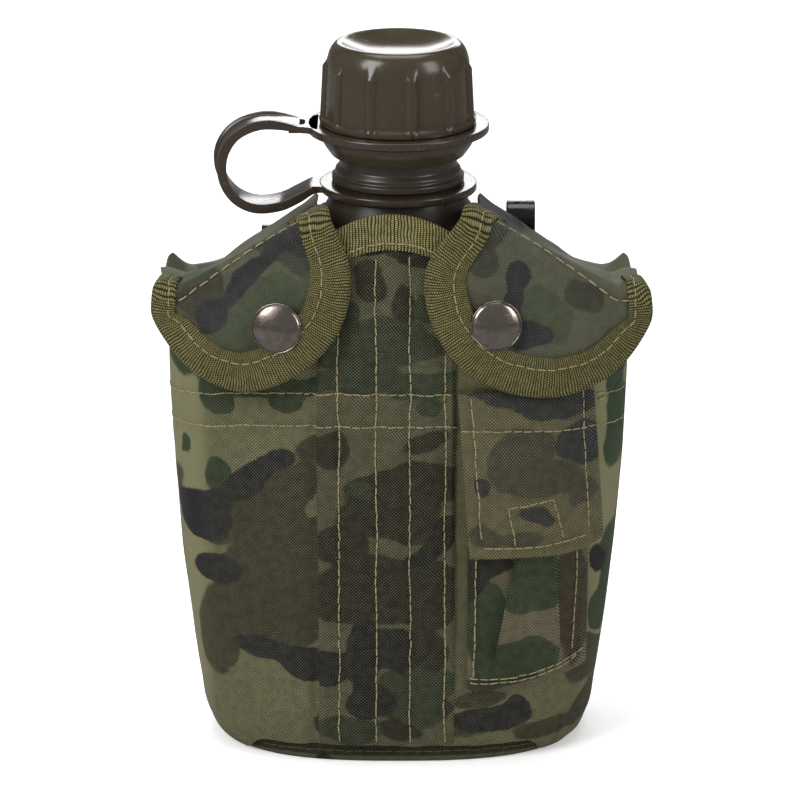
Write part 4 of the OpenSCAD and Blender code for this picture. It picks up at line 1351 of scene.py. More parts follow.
@dataclass
class Flap:
    """One flap: cloth from the back over the shoulder and down the front, bound with tape."""

    side: Side
    cloth_t: float = 1.2
    tape_w: float = 12.5
    fold_r: float = 2.6

    @property
    def edge(self) -> tuple[Point, ...]:
        """The flap's outline."""
        return OUTLINES[self.side]

    def ridge(self, x: Array) -> Array:
        """Height of the fold at x: it rises to an ear at the outer corner."""
        return FORM.ridge_z(x) + 4.0 * ease((np.abs(x) - 65) / 9)

    def seam(self, x: Array) -> Array:
        """How far behind the fold the seam across the shoulder lies at x, unrolled."""
        return 4.0 - 6.5 * np.clip(FORM.along_ridge(x), 0, 1)

    def over(self, x: Array, z: Array, off: Array = 0.0) -> Array:
        """Points on the flap's inner face, unrolled: above the ridge, z goes on over the shoulder.

        Args:
            x: Distance from the middle.
            z: Unrolled height.
            off: Distance outside the inner face.

        Returns:
            The points, on the flap's own side.
        """
        x, z, off = np.broadcast_arrays(np.asarray(x, float), np.asarray(z, float), np.asarray(off, float))
        r, top = self.fold_r, self.ridge(x)
        d = z - top
        half = r * math.pi / 4
        turn = np.clip((d + half) / r, 0, math.pi / 2)
        down, back = np.minimum(d + half, 0), np.maximum(d - half, 0)
        ridge = FORM.ridge_y(x)
        front = mix(ridge, FORM.lobe_y(x, np.minimum(z, top)), ease(-down / 20))
        y = np.where(down < 0, -front, -ridge + r - r * np.cos(turn) + back)
        y = y - off * np.cos(turn)
        drop = 0.8 * FORM.shoulder_dip(x) * (back / 24) ** 1.4
        height = top - r + r * np.sin(turn) + down + off * np.sin(turn) - drop
        return np.stack([x * self.side.value, y, height], -1)

    def hang(self, obj: bpy.types.Object, *nodes: str, slot: str) -> bpy.types.Object:
        """Bakes a piece's placement into its mesh, hides the CAD nodes it stands for and logs it."""
        at = [self.over(np.array(x), FORM.ridge_z(np.array(x))) for x in (30.0, 46.0, 60.0)]
        ridge, axis = at[1], unit(at[2] - at[0])
        span = np.array([0, -5.0, -6.6])
        span = span - axis * (span @ axis)
        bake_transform(obj)
        return note(obj, *nodes, slot=slot)

    def sheet_grid(self) -> tuple[Array, Array]:
        """The flap's and shoulder's outer face, and its unrolled coordinates."""
        u = np.linspace(0, 1, 150)
        x_top = mix(22.5, self.edge[8][0] - 3, u)
        low = spline(self.edge, mix(0.05, 0.95, u))
        centre = np.array([46.0, 152.0])
        low = low + unit(centre - low) * 1.2
        ridge = self.ridge(x_top)
        half = self.fold_r * math.pi / 4
        t = np.linspace(0, 1, 90)[:, None]
        x = mix(low[:, 0], x_top, t)
        z = mix(low[:, 1], ridge - half, t)
        bend = ridge + np.linspace(-half, half, 10)[1:, None]
        rows = [self.over(x, z, self.cloth_t), self.over(x_top + 0 * t[:9], bend, self.cloth_t)]
        stations = []
        for t, back, outer_x in ((0, 0, 72), (0.5, 8, 73), (1, 16, 73.4)):
            across = mix(x_top, mix(25.6, outer_x, u), t)
            stations.append(self.over(across, self.ridge(across) + half + back, self.cloth_t))
        for row, outer in enumerate((73.4, 73, 71, 68.5, 66, 64.5, 64.5)):
            xs = mix(25.6, outer, u)
            share = np.maximum(0, FORM.along_ridge(xs))
            zr, zb = self.ridge(xs), FORM.back_top(xs)
            yb = FORM.back_face(xs, zb) + 0.8
            dip, lump = FORM.shoulder_dip(xs), 6 * share**5
            off = self.cloth_t
            y, height = [(-14, zr - 0.8 * dip + off), (-4, zr - dip + off),
                         (6, zr - dip - 0.4 + lump + off),
                         (mix(6, yb, 0.55), np.maximum(zr - dip - 1.2 + lump, zb + 0.8) + off),
                         (yb + off * 0.9, np.maximum(zr - dip - 2 + lump * 0.6, zb + 1) + off * 0.6),
                         (yb + off, zb - 3), (FORM.back_face(xs, zb - 14) + 0.8 + off, zb - 14)][row]
            stations.append(np.stack([xs * self.side.value, y + 0 * xs, height], -1))
        s = np.linspace(0, 1, 76)[1:]
        rows.append(spline_rows(np.array(stations), s))
        grid = np.concatenate(rows)
        run = np.concatenate([[np.zeros(150)], np.cumsum(np.linalg.norm(np.diff(grid, axis=0), axis=-1), 0)])
        flat = np.stack([np.abs(grid[..., 0]), low[:, 1] + run * ((ridge - half - low[:, 1]) / run[89])], -1)
        return grid, flat

    def cloth(self) -> bpy.types.Object:
        """The cloth of the flap and its shoulder in one piece."""
        grid, flat = self.sheet_grid()
        x, v = flat[..., 0], flat[..., 1]
        ridge = self.ridge(x)
        behind = ease((v - ridge - 3) / 10)
        seam = v - ridge - self.seam(x)
        snap = SNAPS[self.side]
        near = np.hypot(x - abs(snap[0]), v - snap[1])
        share = np.clip(FORM.along_ridge(x), 0, 1.1)
        puff = 0.45 * crumple(x, v, 17, 33 + self.side.value) * (1 - behind) + 0.95 * crumple(x, v, 15, 44) * behind
        puff += -0.8 * bell(near - 8.5, 4) * (1 - behind) + 0.3 * bell(seam - 1.6, 1.6) - 0.4 * bell(seam, 0.8)
        puff += 3.4 * bell(np.hypot((share - 1.0) * 36, (v - ridge - 26) * 0.6), 7)
        puff += 3.6 * bell(np.hypot((share - 0.72) * 44, (v - ridge - 34) * 0.6), 7) * (self.side is Side.RIGHT)
        puff -= 1.6 * bell(np.hypot((share - 0.87) * 60, (v - ridge - 30) * 0.5), 6)
        puff *= 0.35 + 0.65 * ease((v - 124) / 10)
        grid = grid + grid_normals(grid, (46 * self.side.value, 0, 100)) * puff[..., None]
        shell = cloth(grid, flat, self.cloth_t, (46 * self.side.value, 0, 100))
        both = np.concatenate([behind.ravel(), behind.ravel()])
        print_inks(shell, FLAP_BLOTS[self.side], 19 + self.side.value, 0.85 - 0.65 * both)
        word = self.side.word
        obj = self.hang(shell.piece(f"flap_{word}_cloth", FLAP_CLOTH.material()), f"flap_{word}",
                        f"flap_shoulder_{word}", slot="camouflage_cloth")
        return obj

    def path(self, t: Array) -> Array:
        """The tape's outer edge, unrolled, going on straight back over the ridge at both ends."""
        at = spline(self.edge, np.clip(t, 0, 1))
        before, after = np.maximum(-t, 0)[:, None], np.maximum(t - 1, 0)[:, None]
        lean = 0.2
        return (at + before * 8 * 12.8 * np.array([lean, 1.0]) / math.hypot(lean, 1)
                + after * 8 * 8.0 * np.array([-0.1, 1.0]))

    def tape_width(self, t: Array) -> Array:
        """Width of the tape that shows at places along the outline."""
        t = np.clip(t, 0, 1)
        return self.tape_w * (0.76 + 0.24 * np.sin(np.pi * t**0.8) - 0.22 * ease((t - 0.86) / 0.14))

    def binding(self) -> bpy.types.Object:
        """The tape folded over the flap's edge."""
        t = np.linspace(-0.34, 1.33, 520)
        line = self.path(t)
        kernel = np.hanning(57)[1:-1]
        kernel /= kernel.sum()
        padded = np.pad(line, ((27, 27), (0, 0)), mode="reflect", reflect_type="odd")
        line = np.stack([np.convolve(padded[:, k], kernel, "valid") for k in (0, 1)], -1)
        way = unit(np.gradient(line, axis=0))
        inward = np.stack([-way[:, 1], way[:, 0]], -1)
        run = np.cumsum(np.linalg.norm(np.diff(line, axis=0, prepend=line[:1]), axis=1))
        width = self.tape_width(t) + 0.28 * np.sin(run * 2 * math.pi / 0.92)
        s = np.linspace(1, 0.06, 12)
        turn = np.linspace(0, math.pi, 9)[1:-1]
        front = np.concatenate([s * 1.0])
        q = np.concatenate([width[:, None] * front, 0.5 - 1.15 * np.sin(turn)[None] + 0 * width[:, None],
                            width[:, None] * front[::-1] * 0.98, width[:, None] * np.array([0.97, 0.5, 0.09]),
                            width[:, None] * np.array([0.09, 0.5, 0.97])], 1)
        ruffle = 0.3 * value_noise(run, 0 * run, 4.5, 17)[:, None] * s**3
        top = self.cloth_t + 0.95 + 0.3 * np.sin(math.pi * s**0.8) - 0.22 * bell((s - 0.66) * self.tape_w, 0.8)
        under = np.tile([-0.15] * 3 + [self.cloth_t + 0.1] * 3, (len(run), 1))[:, :6]
        off = np.concatenate([top + ruffle, (0.6 + 1.5 * np.cos(turn))[None] + 0 * run[:, None], -0.9 + 0 * ruffle,
                              under], 1)
        place = line[:, None] + inward[:, None] * q[..., None]
        rings = self.over(place[..., 0], place[..., 1], off)
        across = np.concatenate([q[:, :12], -(0.6 + turn)[None] + 0 * q[:, :7], -3 - q[:, 19:31], q[:, 31:]], 1)
        cut = np.stack([run[:, None] + 0 * across, across], -1)
        word = self.side.word
        obj = self.hang(loft(rings, cut).piece(f"flap_binding_{word}_tape", TAPE.material()), f"flap_binding_{word}",
                        slot="webbing")
        return obj

    def stitching(self) -> None:
        """The seam along the tape and the seam behind the ridge."""
        t = np.linspace(-0.3, 1.28, 420)
        line = np.stack([np.convolve(np.pad(c, 18, mode="reflect", reflect_type="odd"), np.ones(37) / 37, "valid")
                         for c in self.path(t).T], -1)
        way = unit(np.gradient(line, axis=0))
        inward = np.stack([-way[:, 1], way[:, 0]], -1)
        place = line + inward * (self.tape_width(t) * 0.68 + 0.3 * value_noise(t * 100, 0 * t, 6, 8))[:, None]
        at = self.over(place[:, 0], place[:, 1], self.cloth_t + 1.15)
        normal = unit(self.over(place[:, 0], place[:, 1], 3.0) - self.over(place[:, 0], place[:, 1], 1.0))
        shells = [sew(at, normal, seed=21 + self.side.value, thick=0.4, pitch=3.4, length=2.7)]
        x = np.linspace(26, self.edge[8][0] - 4.5, 200)
        place_z = self.ridge(x) + self.seam(x)
        at = self.over(x, place_z, self.cloth_t + 0.25)
        normal = unit(self.over(x, place_z, 3.0) - self.over(x, place_z, 1.0))
        shells.append(sew(at, normal, seed=25 + self.side.value, thick=0.5, pitch=4.2, length=3.2, lift=0.22))
        word = self.side.word
        self.hang(shells[0].joined(shells[1]).piece(f"flap_stitching_{word}", THREAD.material()),
                  slot="camouflage_cloth")

    def build(self) -> None:
        """Builds the flap."""
        self.cloth()
        self.binding()
        self.stitching()


@dataclass
class SnapFastener:
    """A snap: the domed cap on the flap; the socket, stud and post are the frame's own."""

    side: Side
    radius: float = 7.8

    def cap(self) -> bpy.types.Object:
        """The domed cap with its rolled rim."""
        low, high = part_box(f"snap_cap_{self.side.word}")
        centre = np.array((low + high) / 2) / MM
        x, z = SNAPS[self.side]
        face = FORM.face
        lean = math.atan((face(x, z + 4)[1] - face(x, z - 4)[1]) / 8)
        turn = math.atan((face(x + 4, z)[1] - face(x - 4, z)[1]) / 8)
        r = np.linspace(0, 1, 34)
        dome = [(rr * 7.15, 1.15 + 1.5 * (1 - rr**2) ** 0.75) for rr in r]
        rim = [(7.3, 1.0), (7.42, 1.12), (7.6, 1.16), (7.76, 1.05), (7.84, 0.8), (7.8, 0.4), (7.5, 0.05), (6.8, 0.0),
               (0, 0)]
        shell = lathe(np.array(dome + rim), 120)
        p = shell.points - [0, 0, 1.3]
        p = np.stack([p[:, 0], -p[:, 2], p[:, 1]], -1)
        c, s = math.cos(-lean), math.sin(-lean)
        p = np.stack([p[:, 0], p[:, 1] * c - p[:, 2] * s, p[:, 1] * s + p[:, 2] * c], -1)
        c, s = math.cos(turn), math.sin(turn)
        p = np.stack([p[:, 0] * c - p[:, 1] * s, p[:, 0] * s + p[:, 1] * c, p[:, 2]], -1)
        shell.points = p + centre + [0, -0.9, 0]
        return settle(shell.piece(f"snap_cap_{self.side.word}_dome", SNAP_STEEL.material()),
                      f"flap_{self.side.word}", f"snap_cap_{self.side.word}", slot="snap_steel")

    def build(self) -> None:
        """Builds the cap and finishes the hidden parts."""
        self.cap()
        for part in ("socket", "stud", "post"):
            coat(f"snap_{part}_{self.side.word}", SNAP_INNER)


# ---- the pouch ----

POUCH_BLOTS: tuple[Blot, ...] = (
    ("K", 25, 70, 10.8, 4.6, 0), ("K", 23, 66, 5.4, 10.3, -15), ("G", 28, 47.6, 9.3, 21.7, 15),
    ("B", 54.2, 53, 5.4, 22, 0), ("G", 32, 29, 12.8, 3, 0),
)
PLEAT_BLOTS: tuple[Blot, ...] = (
    ("G", 41.7, 64.2, 12.5, 11, 0), ("G", 39, 38.0, 12.8, 7.2, -8), ("G", 36, 30, 14, 4, 0),
)
POUCH_FLAP_BLOTS: tuple[Blot, ...] = (
    ("K", 44, 121.2, 19, 5.6, -10), ("K", 24.7, 124.5, 10, 2.0, 0), ("K", 56.8, 107, 8.8, 6.2, -10),
    ("B", 38, 105, 11, 8, 20), ("B", 43, 98, 14, 5.2, 0), ("K", 43, 86.5, 6.4, 3.0, -15),
    ("B", 37.6, 79.5, 8.3, 2.1, 0), ("B", 25, 80.5, 4.5, 3, 0), ("B", 57, 92, 5, 4, 0), ("K", 25, 97, 3, 3, 0),
)


@dataclass
class Pouch:
    """The small pouch on the front, with its flap."""

    across: Point = (21.5, 59.3)
    up: Point = (26.5, 96.0)
    cloth_t: float = 1.1

    def swell(self, u: Array, z: Array) -> Array:
        """How far the pouch stands off the front at a share u across and height z."""
        v = (z - self.up[0]) / (self.up[1] - self.up[0])
        rise = np.sin(np.pi / 2 * np.clip(v * 2.5, 0, 1)) ** 0.7
        return 1.4 + 6.6 * np.sin(np.pi * np.clip(u, 0, 1)) ** 0.5 * rise

    def pleat_edges(self, z: Array) -> tuple[Array, Array]:
        """Left and right edge of the raised middle panel at height z."""
        t = (71 - z) / 40
        return 35.8 - 7.2 * np.clip(t, -0.6, 1.05), 49.0 + 2.2 * np.clip(t, -0.3, 1.0)

    def body(self) -> bpy.types.Object:
        """The pouch's sides, sunk under the middle panel."""
        u, v = np.meshgrid(np.linspace(0, 1, 120), np.linspace(0, 1, 170))
        x = mix(self.across[0], self.across[1], u)
        z = mix(self.up[0] - 1.2 + 4.4 * u**1.6, self.up[1], v)
        left, right = self.pleat_edges(z)
        sink = bell(np.minimum(x - left, 0), 6) * bell(np.maximum(x - right, 0), 4)
        off = self.swell(u, z) - 1.9 * sink * ease((z - 31) / 12) + 0.3 * crumple(x, z, 9, 61)
        edge = np.minimum(np.minimum(u, 1 - u) * 37.8, (v * 69.0))
        off = off + 0.35 * ease(1 - edge / 3.2) - 0.35 * bell(edge - 3.4, 0.7)
        grid = FORM.face(x, z, off)
        shell = cloth(grid, np.stack([x, z], -1), self.cloth_t)
        print_inks(shell, POUCH_BLOTS, 23)
        return clothe(shell, "pouch", POUCH_CLOTH)

    def pleat(self) -> bpy.types.Object:
        """The raised middle panel between the two pleats."""
        u, v = np.meshgrid(np.linspace(0, 1, 80), np.linspace(0, 1, 130))
        z = mix(29.6 + 2.4 * u, 92.0, v)
        left, right = self.pleat_edges(z)
        x = mix(left, right, u)
        share = (x - self.across[0]) / (self.across[1] - self.across[0])
        edge = np.minimum(u, 1 - u) * (right - left)
        off = self.swell(share, z) + 0.75 * ease((z - 30) / 16) + 0.3 * crumple(x, z, 8, 67)
        off = off - 1.3 * (1 - ease(edge / 1.3)) * ease((z - 30) / 6) + 0.25 * bell(edge - 1.3, 0.8)
        grid = FORM.face(x, z, off)
        shell = cloth(grid, np.stack([x, z], -1), 0.7)
        print_inks(shell, PLEAT_BLOTS, 29)
        obj = settle(shell.piece("pouch_pleat_cloth", POUCH_CLOTH.material()), "cover", slot="camouflage_cloth")
        return obj

    def flap_at(self, u: Array, z: Array, off: Array = 0.0) -> Array:
        """Points of the pouch flap's inner face.

        Args:
            u: Share across, 0 to 1.
            z: Height.
            off: Distance outside.

        Returns:
            The points.
        """
        drop = (124 - z) / 50
        x = mix(mix(18.2, 21.8, drop), mix(60, 64, drop), u)
        inner = 0.5 + (u - 0.5) * 1.1
        near = np.clip((124 - z) / 26, 0, 1)
        rest = mix(1.3, self.swell(0.5 + (inner - 0.5) * 0.82, 80 + 0 * u) + 1.6, near)
        return FORM.face(x, z, rest + off)

    def flap_relief(self, u: Array, z: Array) -> Array:
        """The flap's hems, folds and the dent over its stitched patch."""
        x = mix(20, 62, u)
        side = np.minimum(u, 1 - u) * 42
        low = z - 72.6
        off = 0.42 * crumple(x, z, 11, 73) * ease((124 - z) / 8) + 0.1 * crumple(x, z, 4, 74)
        off += (0.4 * ease(1 - low / 4.6) - 0.35 * bell(low - 4.6, 0.8) + 0.22 * ease(1 - side / 3.6)
                - 0.3 * bell(side - 3.8, 0.7))
        fold = seam_height(113.1, x) - z
        off += 1.1 * bell(fold - 7, 5) * bell(u - 0.45, 0.28) - 0.8 * bell(fold - 1.6, 1.6) * bell(u - 0.55, 0.35)
        off -= 0.4 * bell(z - seam_height(113.1, x), 0.8)
        patch = np.maximum(np.abs(x - 42.5) - 6.6, np.abs(z - 83.6) - 7.8)
        off += 0.45 * ease(-patch / 2) - 0.35 * bell(patch, 0.9)
        off += 0.5 * bell(low, 5) * np.sin(u * 9.0 + 0.6)
        return off

    def flap(self) -> bpy.types.Object:
        """The flap, sewn on at the top."""
        u, v = np.meshgrid(np.linspace(0, 1, 130), np.linspace(0, 1, 170))
        z = mix(124.0, 72.6 + 0.9 * u + 0.4 * np.sin(u * 7), v)
        off = 1.2 + self.flap_relief(u, z)
        edge = np.minimum(np.minimum(u, 1 - u) * 42, z - 72.8)
        grid = self.flap_at(u, z, off - 0.5 * (1 - ease(edge / 0.9)))
        shell = cloth(grid, grid[..., [0, 2]], 1.0)
        print_inks(shell, POUCH_FLAP_BLOTS, 37)
        obj = shell.piece("pouch_flap_cloth", POUCH_FLAP_CLOTH.material())
        self.hang(obj, "pouch_flap", "pouch_flap_seam")
        return obj

    def hang(self, obj: bpy.types.Object, *nodes: str) -> bpy.types.Object:
        """Bakes a piece's placement into its mesh, hides the CAD nodes it stands for and logs it."""
        y = float(self.flap_at(np.array(0.5), np.array(113.5))[1])
        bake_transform(obj)
        return note(obj, *nodes, slot="camouflage_cloth")

    def stitching(self) -> None:
        """Seams of the pouch and of its flap."""
        def on_flap(points: Sequence[Point], seed: int, thick: float = 0.42) -> Shell:
            """A seam through points given as share across and height."""
            u, z = even_line(points)
            u = u + 0.005 * value_noise(z, u * 40, 6, seed)
            at = self.flap_at(u, z, 1.32 + self.flap_relief(u, z))
            return sew(at, np.tile([0, -1.0, 0], (len(at), 1)), seed=seed, thick=thick, pitch=3.2, length=2.8)

        shells = [
            on_flap([(0.09, 123), (0.094, 100), (0.1, 76.6)], 41),
            on_flap([(0.10, 76.4), (0.5, 76.3), (0.895, 77.2)], 42),
            on_flap([(0.925, 123), (0.90, 111), (0.895, 77.2)], 43),
            on_flap([(0.345, 77.0), (0.31, 89.6), (0.65, 91.2), (0.695, 77.4)], 44, 0.4),
            on_flap([(0.0, 112.9), (0.4, 112.4), (1.0, 111.0)], 45),
        ]
        self.hang(shells[0].joined(*shells[1:]).piece("pouch_flap_stitching", THREAD.material()))

        def on_pouch(points: Sequence[Point], seed: int) -> Shell:
            """A seam on the pouch through points given as x and height."""
            x, z = even_line(points)
            x = x + 0.2 * value_noise(z, x, 6, seed)
            u = (x - self.across[0]) / (self.across[1] - self.across[0])
            at = FORM.face(x, z, self.swell(u, z) + 0.32)
            return sew(at, np.tile([0, -1.0, 0], (len(at), 1)), seed=seed, thick=0.44, pitch=3.1, length=2.8)

        low = [(22.0, 30.4), (28, 29.8), (36, 30.3), (44, 31.6), (52, 33.6), (58.8, 35.8)]
        shells = [on_pouch([(24.2, 96), (24.0, 60), (23.6, 30)], 51),
                  on_pouch([(55.6, 96), (55.4, 60), (54.4, 35.4)], 52), on_pouch(low, 53),
                  on_pouch([(x, z - 1.6) for x, z in low[:-1]] + [(56.5, 34.6)], 54)]
        sewn("pouch_stitching", shells)

    def build(self) -> None:
        """Builds the pouch."""
        self.body()
        self.pleat()
        self.flap()
        self.stitching()
        coat("pouch_loop_patch", LOOP_TAPE)
        coat("pouch_hook_patch", HOOK_TAPE)


# ---- the back ----


@dataclass
class BeltHanger:
    """The webbing bands across the back and the two steel belt clips under them."""

    clip_x: float = 39.0
    clip_w: float = 9.0
    steel: float = 1.4
    stand_off: float = 2.4

    def band(self, name: str) -> bpy.types.Object:
        """A webbing band that bulges over each clip's inner leg."""
        low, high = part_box(name)
        x = np.linspace(60, -60, 360)
        z = np.linspace(high.z / MM, low.z / MM, 24)[:, None] + 0.15 * value_noise(x, 0 * x, 12, 3)
        bulge = self.steel + self.stand_off + 1.2
        d = np.abs(np.abs(x) - self.clip_x)
        lift = mix(bulge, 0.35, ease((d - self.clip_w / 2 - 1.0) / 5.0))
        edge = np.minimum(z - low.z / MM, high.z / MM - z)
        y = (FORM.back_face(x + 0 * z, z) + lift + 1.3 + 0.15 * value_noise(x + 0 * z, z, 6, 5)
             - 0.3 * (1 - ease(edge / 0.8)))
        grid = np.stack([x + 0 * z, y, z], -1)
        run = np.cumsum(np.linalg.norm(np.diff(grid[0], axis=0, prepend=grid[0, :1]), axis=1))
        shell = cloth(grid, np.stack([run + 0 * z, z + 0 * run], -1), 1.3)
        obj = settle(shell.piece(f"{name}_tape", TAPE.material()), "cover", name, slot="webbing")
        return obj

    def band_stitching(self) -> None:
        """Box stitching that holds the bands beside each clip."""
        shells = []
        for name in ("back_band_upper", "back_band_lower"):
            low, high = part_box(name)
            z0, z1 = low.z / MM + 1.8, high.z / MM - 1.8
            for x0, x1 in ((-58, -50), (-28, -14), (-4, 4), (14, 28), (50, 58)):
                t = np.linspace(0, 1, 30)[:, None]
                corners = [(x0, z0), (x1, z0), (x1, z1), (x0, z1), (x0, z0), (x1, z1)]
                for a, b in zip(corners, corners[1:]):
                    p = mix(np.array(a, float), np.array(b, float), t)
                    y = FORM.back_face(p[:, 0], p[:, 1]) + 1.3 + 0.5
                    at = np.stack([p[:, 0], y, p[:, 1]], -1)
                    shells.append(sew(at, np.tile([0, 1.0, 0], (30, 1)), seed=int(abs(x0)), thick=0.5))
        sewn("back_band_stitching", shells, slot="webbing")

    def strip(self, line: Array, x: float, width: float) -> Shell:
        """A flat steel strip with rounded edges along a line of (y, z)."""
        way = unit(np.gradient(line, axis=0))
        out = np.stack([way[:, 1], -way[:, 0]], -1)
        section = rounded([(-width / 2, -self.steel / 2), (width / 2, -self.steel / 2), (width / 2, self.steel / 2),
                           (-width / 2, self.steel / 2)], 0.45, 4, closed=True)
        yz = line[:, None] + out[:, None] * section[None, :, 1:]
        return loft(np.concatenate([x + section[None, :, :1] + 0 * yz[..., :1], yz], -1))

    def clip(self, side: Side) -> bpy.types.Object:
        """The bent steel clip."""
        low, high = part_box(f"clip_{side.word}")
        half = self.steel / 2
        y0, y1 = low.y / MM + half, high.y / MM - half
        z0, z1 = low.z / MM + half, high.z / MM - half
        r = (y1 - y0) / 2
        arc = [((y0 + y1) / 2 - r * math.cos(a), z1 - r + r * math.sin(a)) for a in np.linspace(0, math.pi, 25)]
        corners = [(y1, z0 + 5.4), (y1, z0), (y0, z0), *arc, (y1, z0 + 7.2)]
        line = rounded(corners, 1.1, 5)
        fine = resample(np.column_stack([line, 0 * line[:, 0]]), 0.45)[:, :2]
        shell = self.strip(fine, (low.x + high.x) / 2 / MM, self.clip_w)
        return settle(shell.piece(f"clip_{side.word}_steel", ENAMEL.material()), "cover", f"clip_{side.word}",
                      slot="clip_steel")

    def slide(self, side: Side) -> bpy.types.Object:
        """The sliding lock on the clip's tongue: a short flattened tube."""
        low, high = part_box(f"clip_slide_{side.word}")
        cx, cy = (low.x + high.x) / 2 / MM, (low.y + high.y) / 2 / MM
        w, t = (high.x - low.x) / 2 / MM, (high.y - low.y) / 2 / MM

        def ring(inset: float, z: float) -> Array:
            """One ring of the tube's wall."""
            p = rounded([(-w + inset, -t + inset), (w - inset, -t + inset), (w - inset, t - inset),
                         (-w + inset, t - inset)], 0.9 - 0.5 * inset, 5, closed=True)
            return np.column_stack([p[:, 0] + cx, p[:, 1] + cy, np.full(len(p), z)])

        z0, z1 = low.z / MM, high.z / MM
        levels = [(0.25, z0), (0, z0 + 0.3), (0, z0 + 2), (0, z1 - 2), (0, z1 - 0.3), (0.25, z1), (0.85, z1),
                  (1.0, z1 - 0.2), (1.0, z0 + 0.2), (0.85, z0)]
        shell = loft(np.array([ring(*level) for level in levels]), loop=True)
        return settle(shell.piece(f"clip_slide_{side.word}_steel", ENAMEL.material()), f"clip_slide_{side.word}",
                      f"clip_slide_{side.word}", slot="clip_steel")

    def build(self) -> None:
        """Builds the bands, clips and slides."""
        self.band("back_band_upper")
        self.band("back_band_lower")
        self.band_stitching()
        for side in Side:
            self.clip(side)
            self.slide(side)


# ---- the bottle, its cap and its tether ----


def helix(inner: float, proud: float, z0: float, turns: float, pitch: float, outward: bool = True) -> Shell:
    """A screw thread's ridge.

    Args:
        inner: Radius the ridge stands on.
        proud: Height of the ridge.
        z0: Height of its start.
        turns: Number of turns.
        pitch: Rise in one turn.
        outward: Whether it stands outward or inward.

    Returns:
        The closed shell.
    """
    t = np.linspace(0, 1, int(turns * 72) + 1)
    angle = t * turns * 2 * math.pi
    size = np.clip(np.minimum(t, 1 - t) * 14, 0.05, 1)[:, None]
    sign = 1 if outward else -1
    section = np.array([(-0.3, -1.35), (0.7, -0.75), (1.0, -0.35), (1.0, 0.35), (0.7, 0.75), (-0.3, 1.35)])
    r = inner + sign * proud * np.where(section[:, 0] > 0, section[:, 0] * size, section[:, 0])
    z = z0 + (t * turns * pitch)[:, None] + section[:, 1] * (0.4 + 0.6 * size)
    rings = np.stack([r * np.sin(angle)[:, None], -r * np.cos(angle)[:, None], z], -1)
    return loft(rings[:, ::-1] if outward else rings)


@dataclass
class Bottle:
    """The blown plastic bottle, its threaded neck and the gasket."""

    shoulder: tuple[tuple[float, ...], ...] = (
        (140.5, 62, 30.5, 22.5, 2.5, 3.5), (148, 52, 28, 20.5, 2.4, 2.5), (156.5, 40, 25.5, 19, 2.2, 1),
        (165.5, 29, 23.5, 18.6, 2.1, 0.2), (173, 22.8, 21.8, 20.6, 2, 0), (177.4, 20.6, 20.6, 20.6, 2, 0))
    inset: float = 2.2
    floor: float = 1.6

    def ring(self, z: float, inset: float, turns: int = 120) -> Array:
        """A ring of the bottle below its shoulder."""
        return FORM.body(np.linspace(-180, 180, turns, endpoint=False), max(z, 4.0), -inset) * [1, 1, 0] + [0, 0, z]

    def shoulder_ring(self, z: float, half: float, front: float, back: float, square: float, hollow: float,
                      turns: int = 120) -> Array:
        """A ring of the shoulder."""
        a = np.radians(np.linspace(-180, 180, turns, endpoint=False))
        p = 2 / square
        x = half * signed_power(np.sin(a), p)
        depth = np.where(np.cos(a) > 0, front, back)
        dip = np.where(np.cos(a) < 0, hollow * np.maximum(0, 1 - (x / half) ** 2) ** 2, 0)
        return np.stack([x, -depth * signed_power(np.cos(a), p) - dip, np.full(turns, z)], -1)

    def body(self) -> bpy.types.Object:
        """The bottle's body with rounded base and shoulder."""
        low = self.floor
        rows = [self.ring(low, self.inset + k * 1.0) for k in (26, 18, 11, 6.5)]
        rows += [self.ring(low + 5 * (1 - math.cos(a)), self.inset + 5.5 * (1 - math.sin(a)))
                 for a in np.linspace(0.15, math.pi / 2, 8)]
        rows += [self.ring(z, self.inset) for z in (28, 50, 80, 110, 132)]
        rows += [self.shoulder_ring(*row) for row in self.shoulder]
        fine = spline_rows(np.array(rows), np.linspace(0, 1, 130))
        return settle(loft(fine).piece("bottle_blown", BOTTLE_PLASTIC.material()), "cover", "bottle",
                      slot="bottle_plastic")

    def neck(self) -> bpy.types.Object:
        """The neck with its collars and thread, bored through to the bottle."""
        profile = rounded([(14.5, 177.2), (19.6, 177.2), (19.6, 181.2), (20.4, 181.4), (20.4, 183.2), (19.4, 183.8),
                           (19.4, 185), (18.2, 186.4), (18.2, 189.8), (17.2, 190.8), (17.2, 211.2), (16.4, 212),
                           (14.5, 212)], 0.35, 3, closed=True)
        shell = lathe(profile, 180, closed=True).joined(helix(16.9, 1.6, 194.0, 1.6, 6.0))
        return settle(shell.piece("bottle_neck_turned", BOTTLE_PLASTIC.material(), 40), "cover", "bottle_neck",
                      slot="bottle_plastic")

    def build(self) -> None:
        """Builds the bottle and finishes its gasket."""
        self.body()
        self.neck()
        coat("cap_gasket", RUBBER)


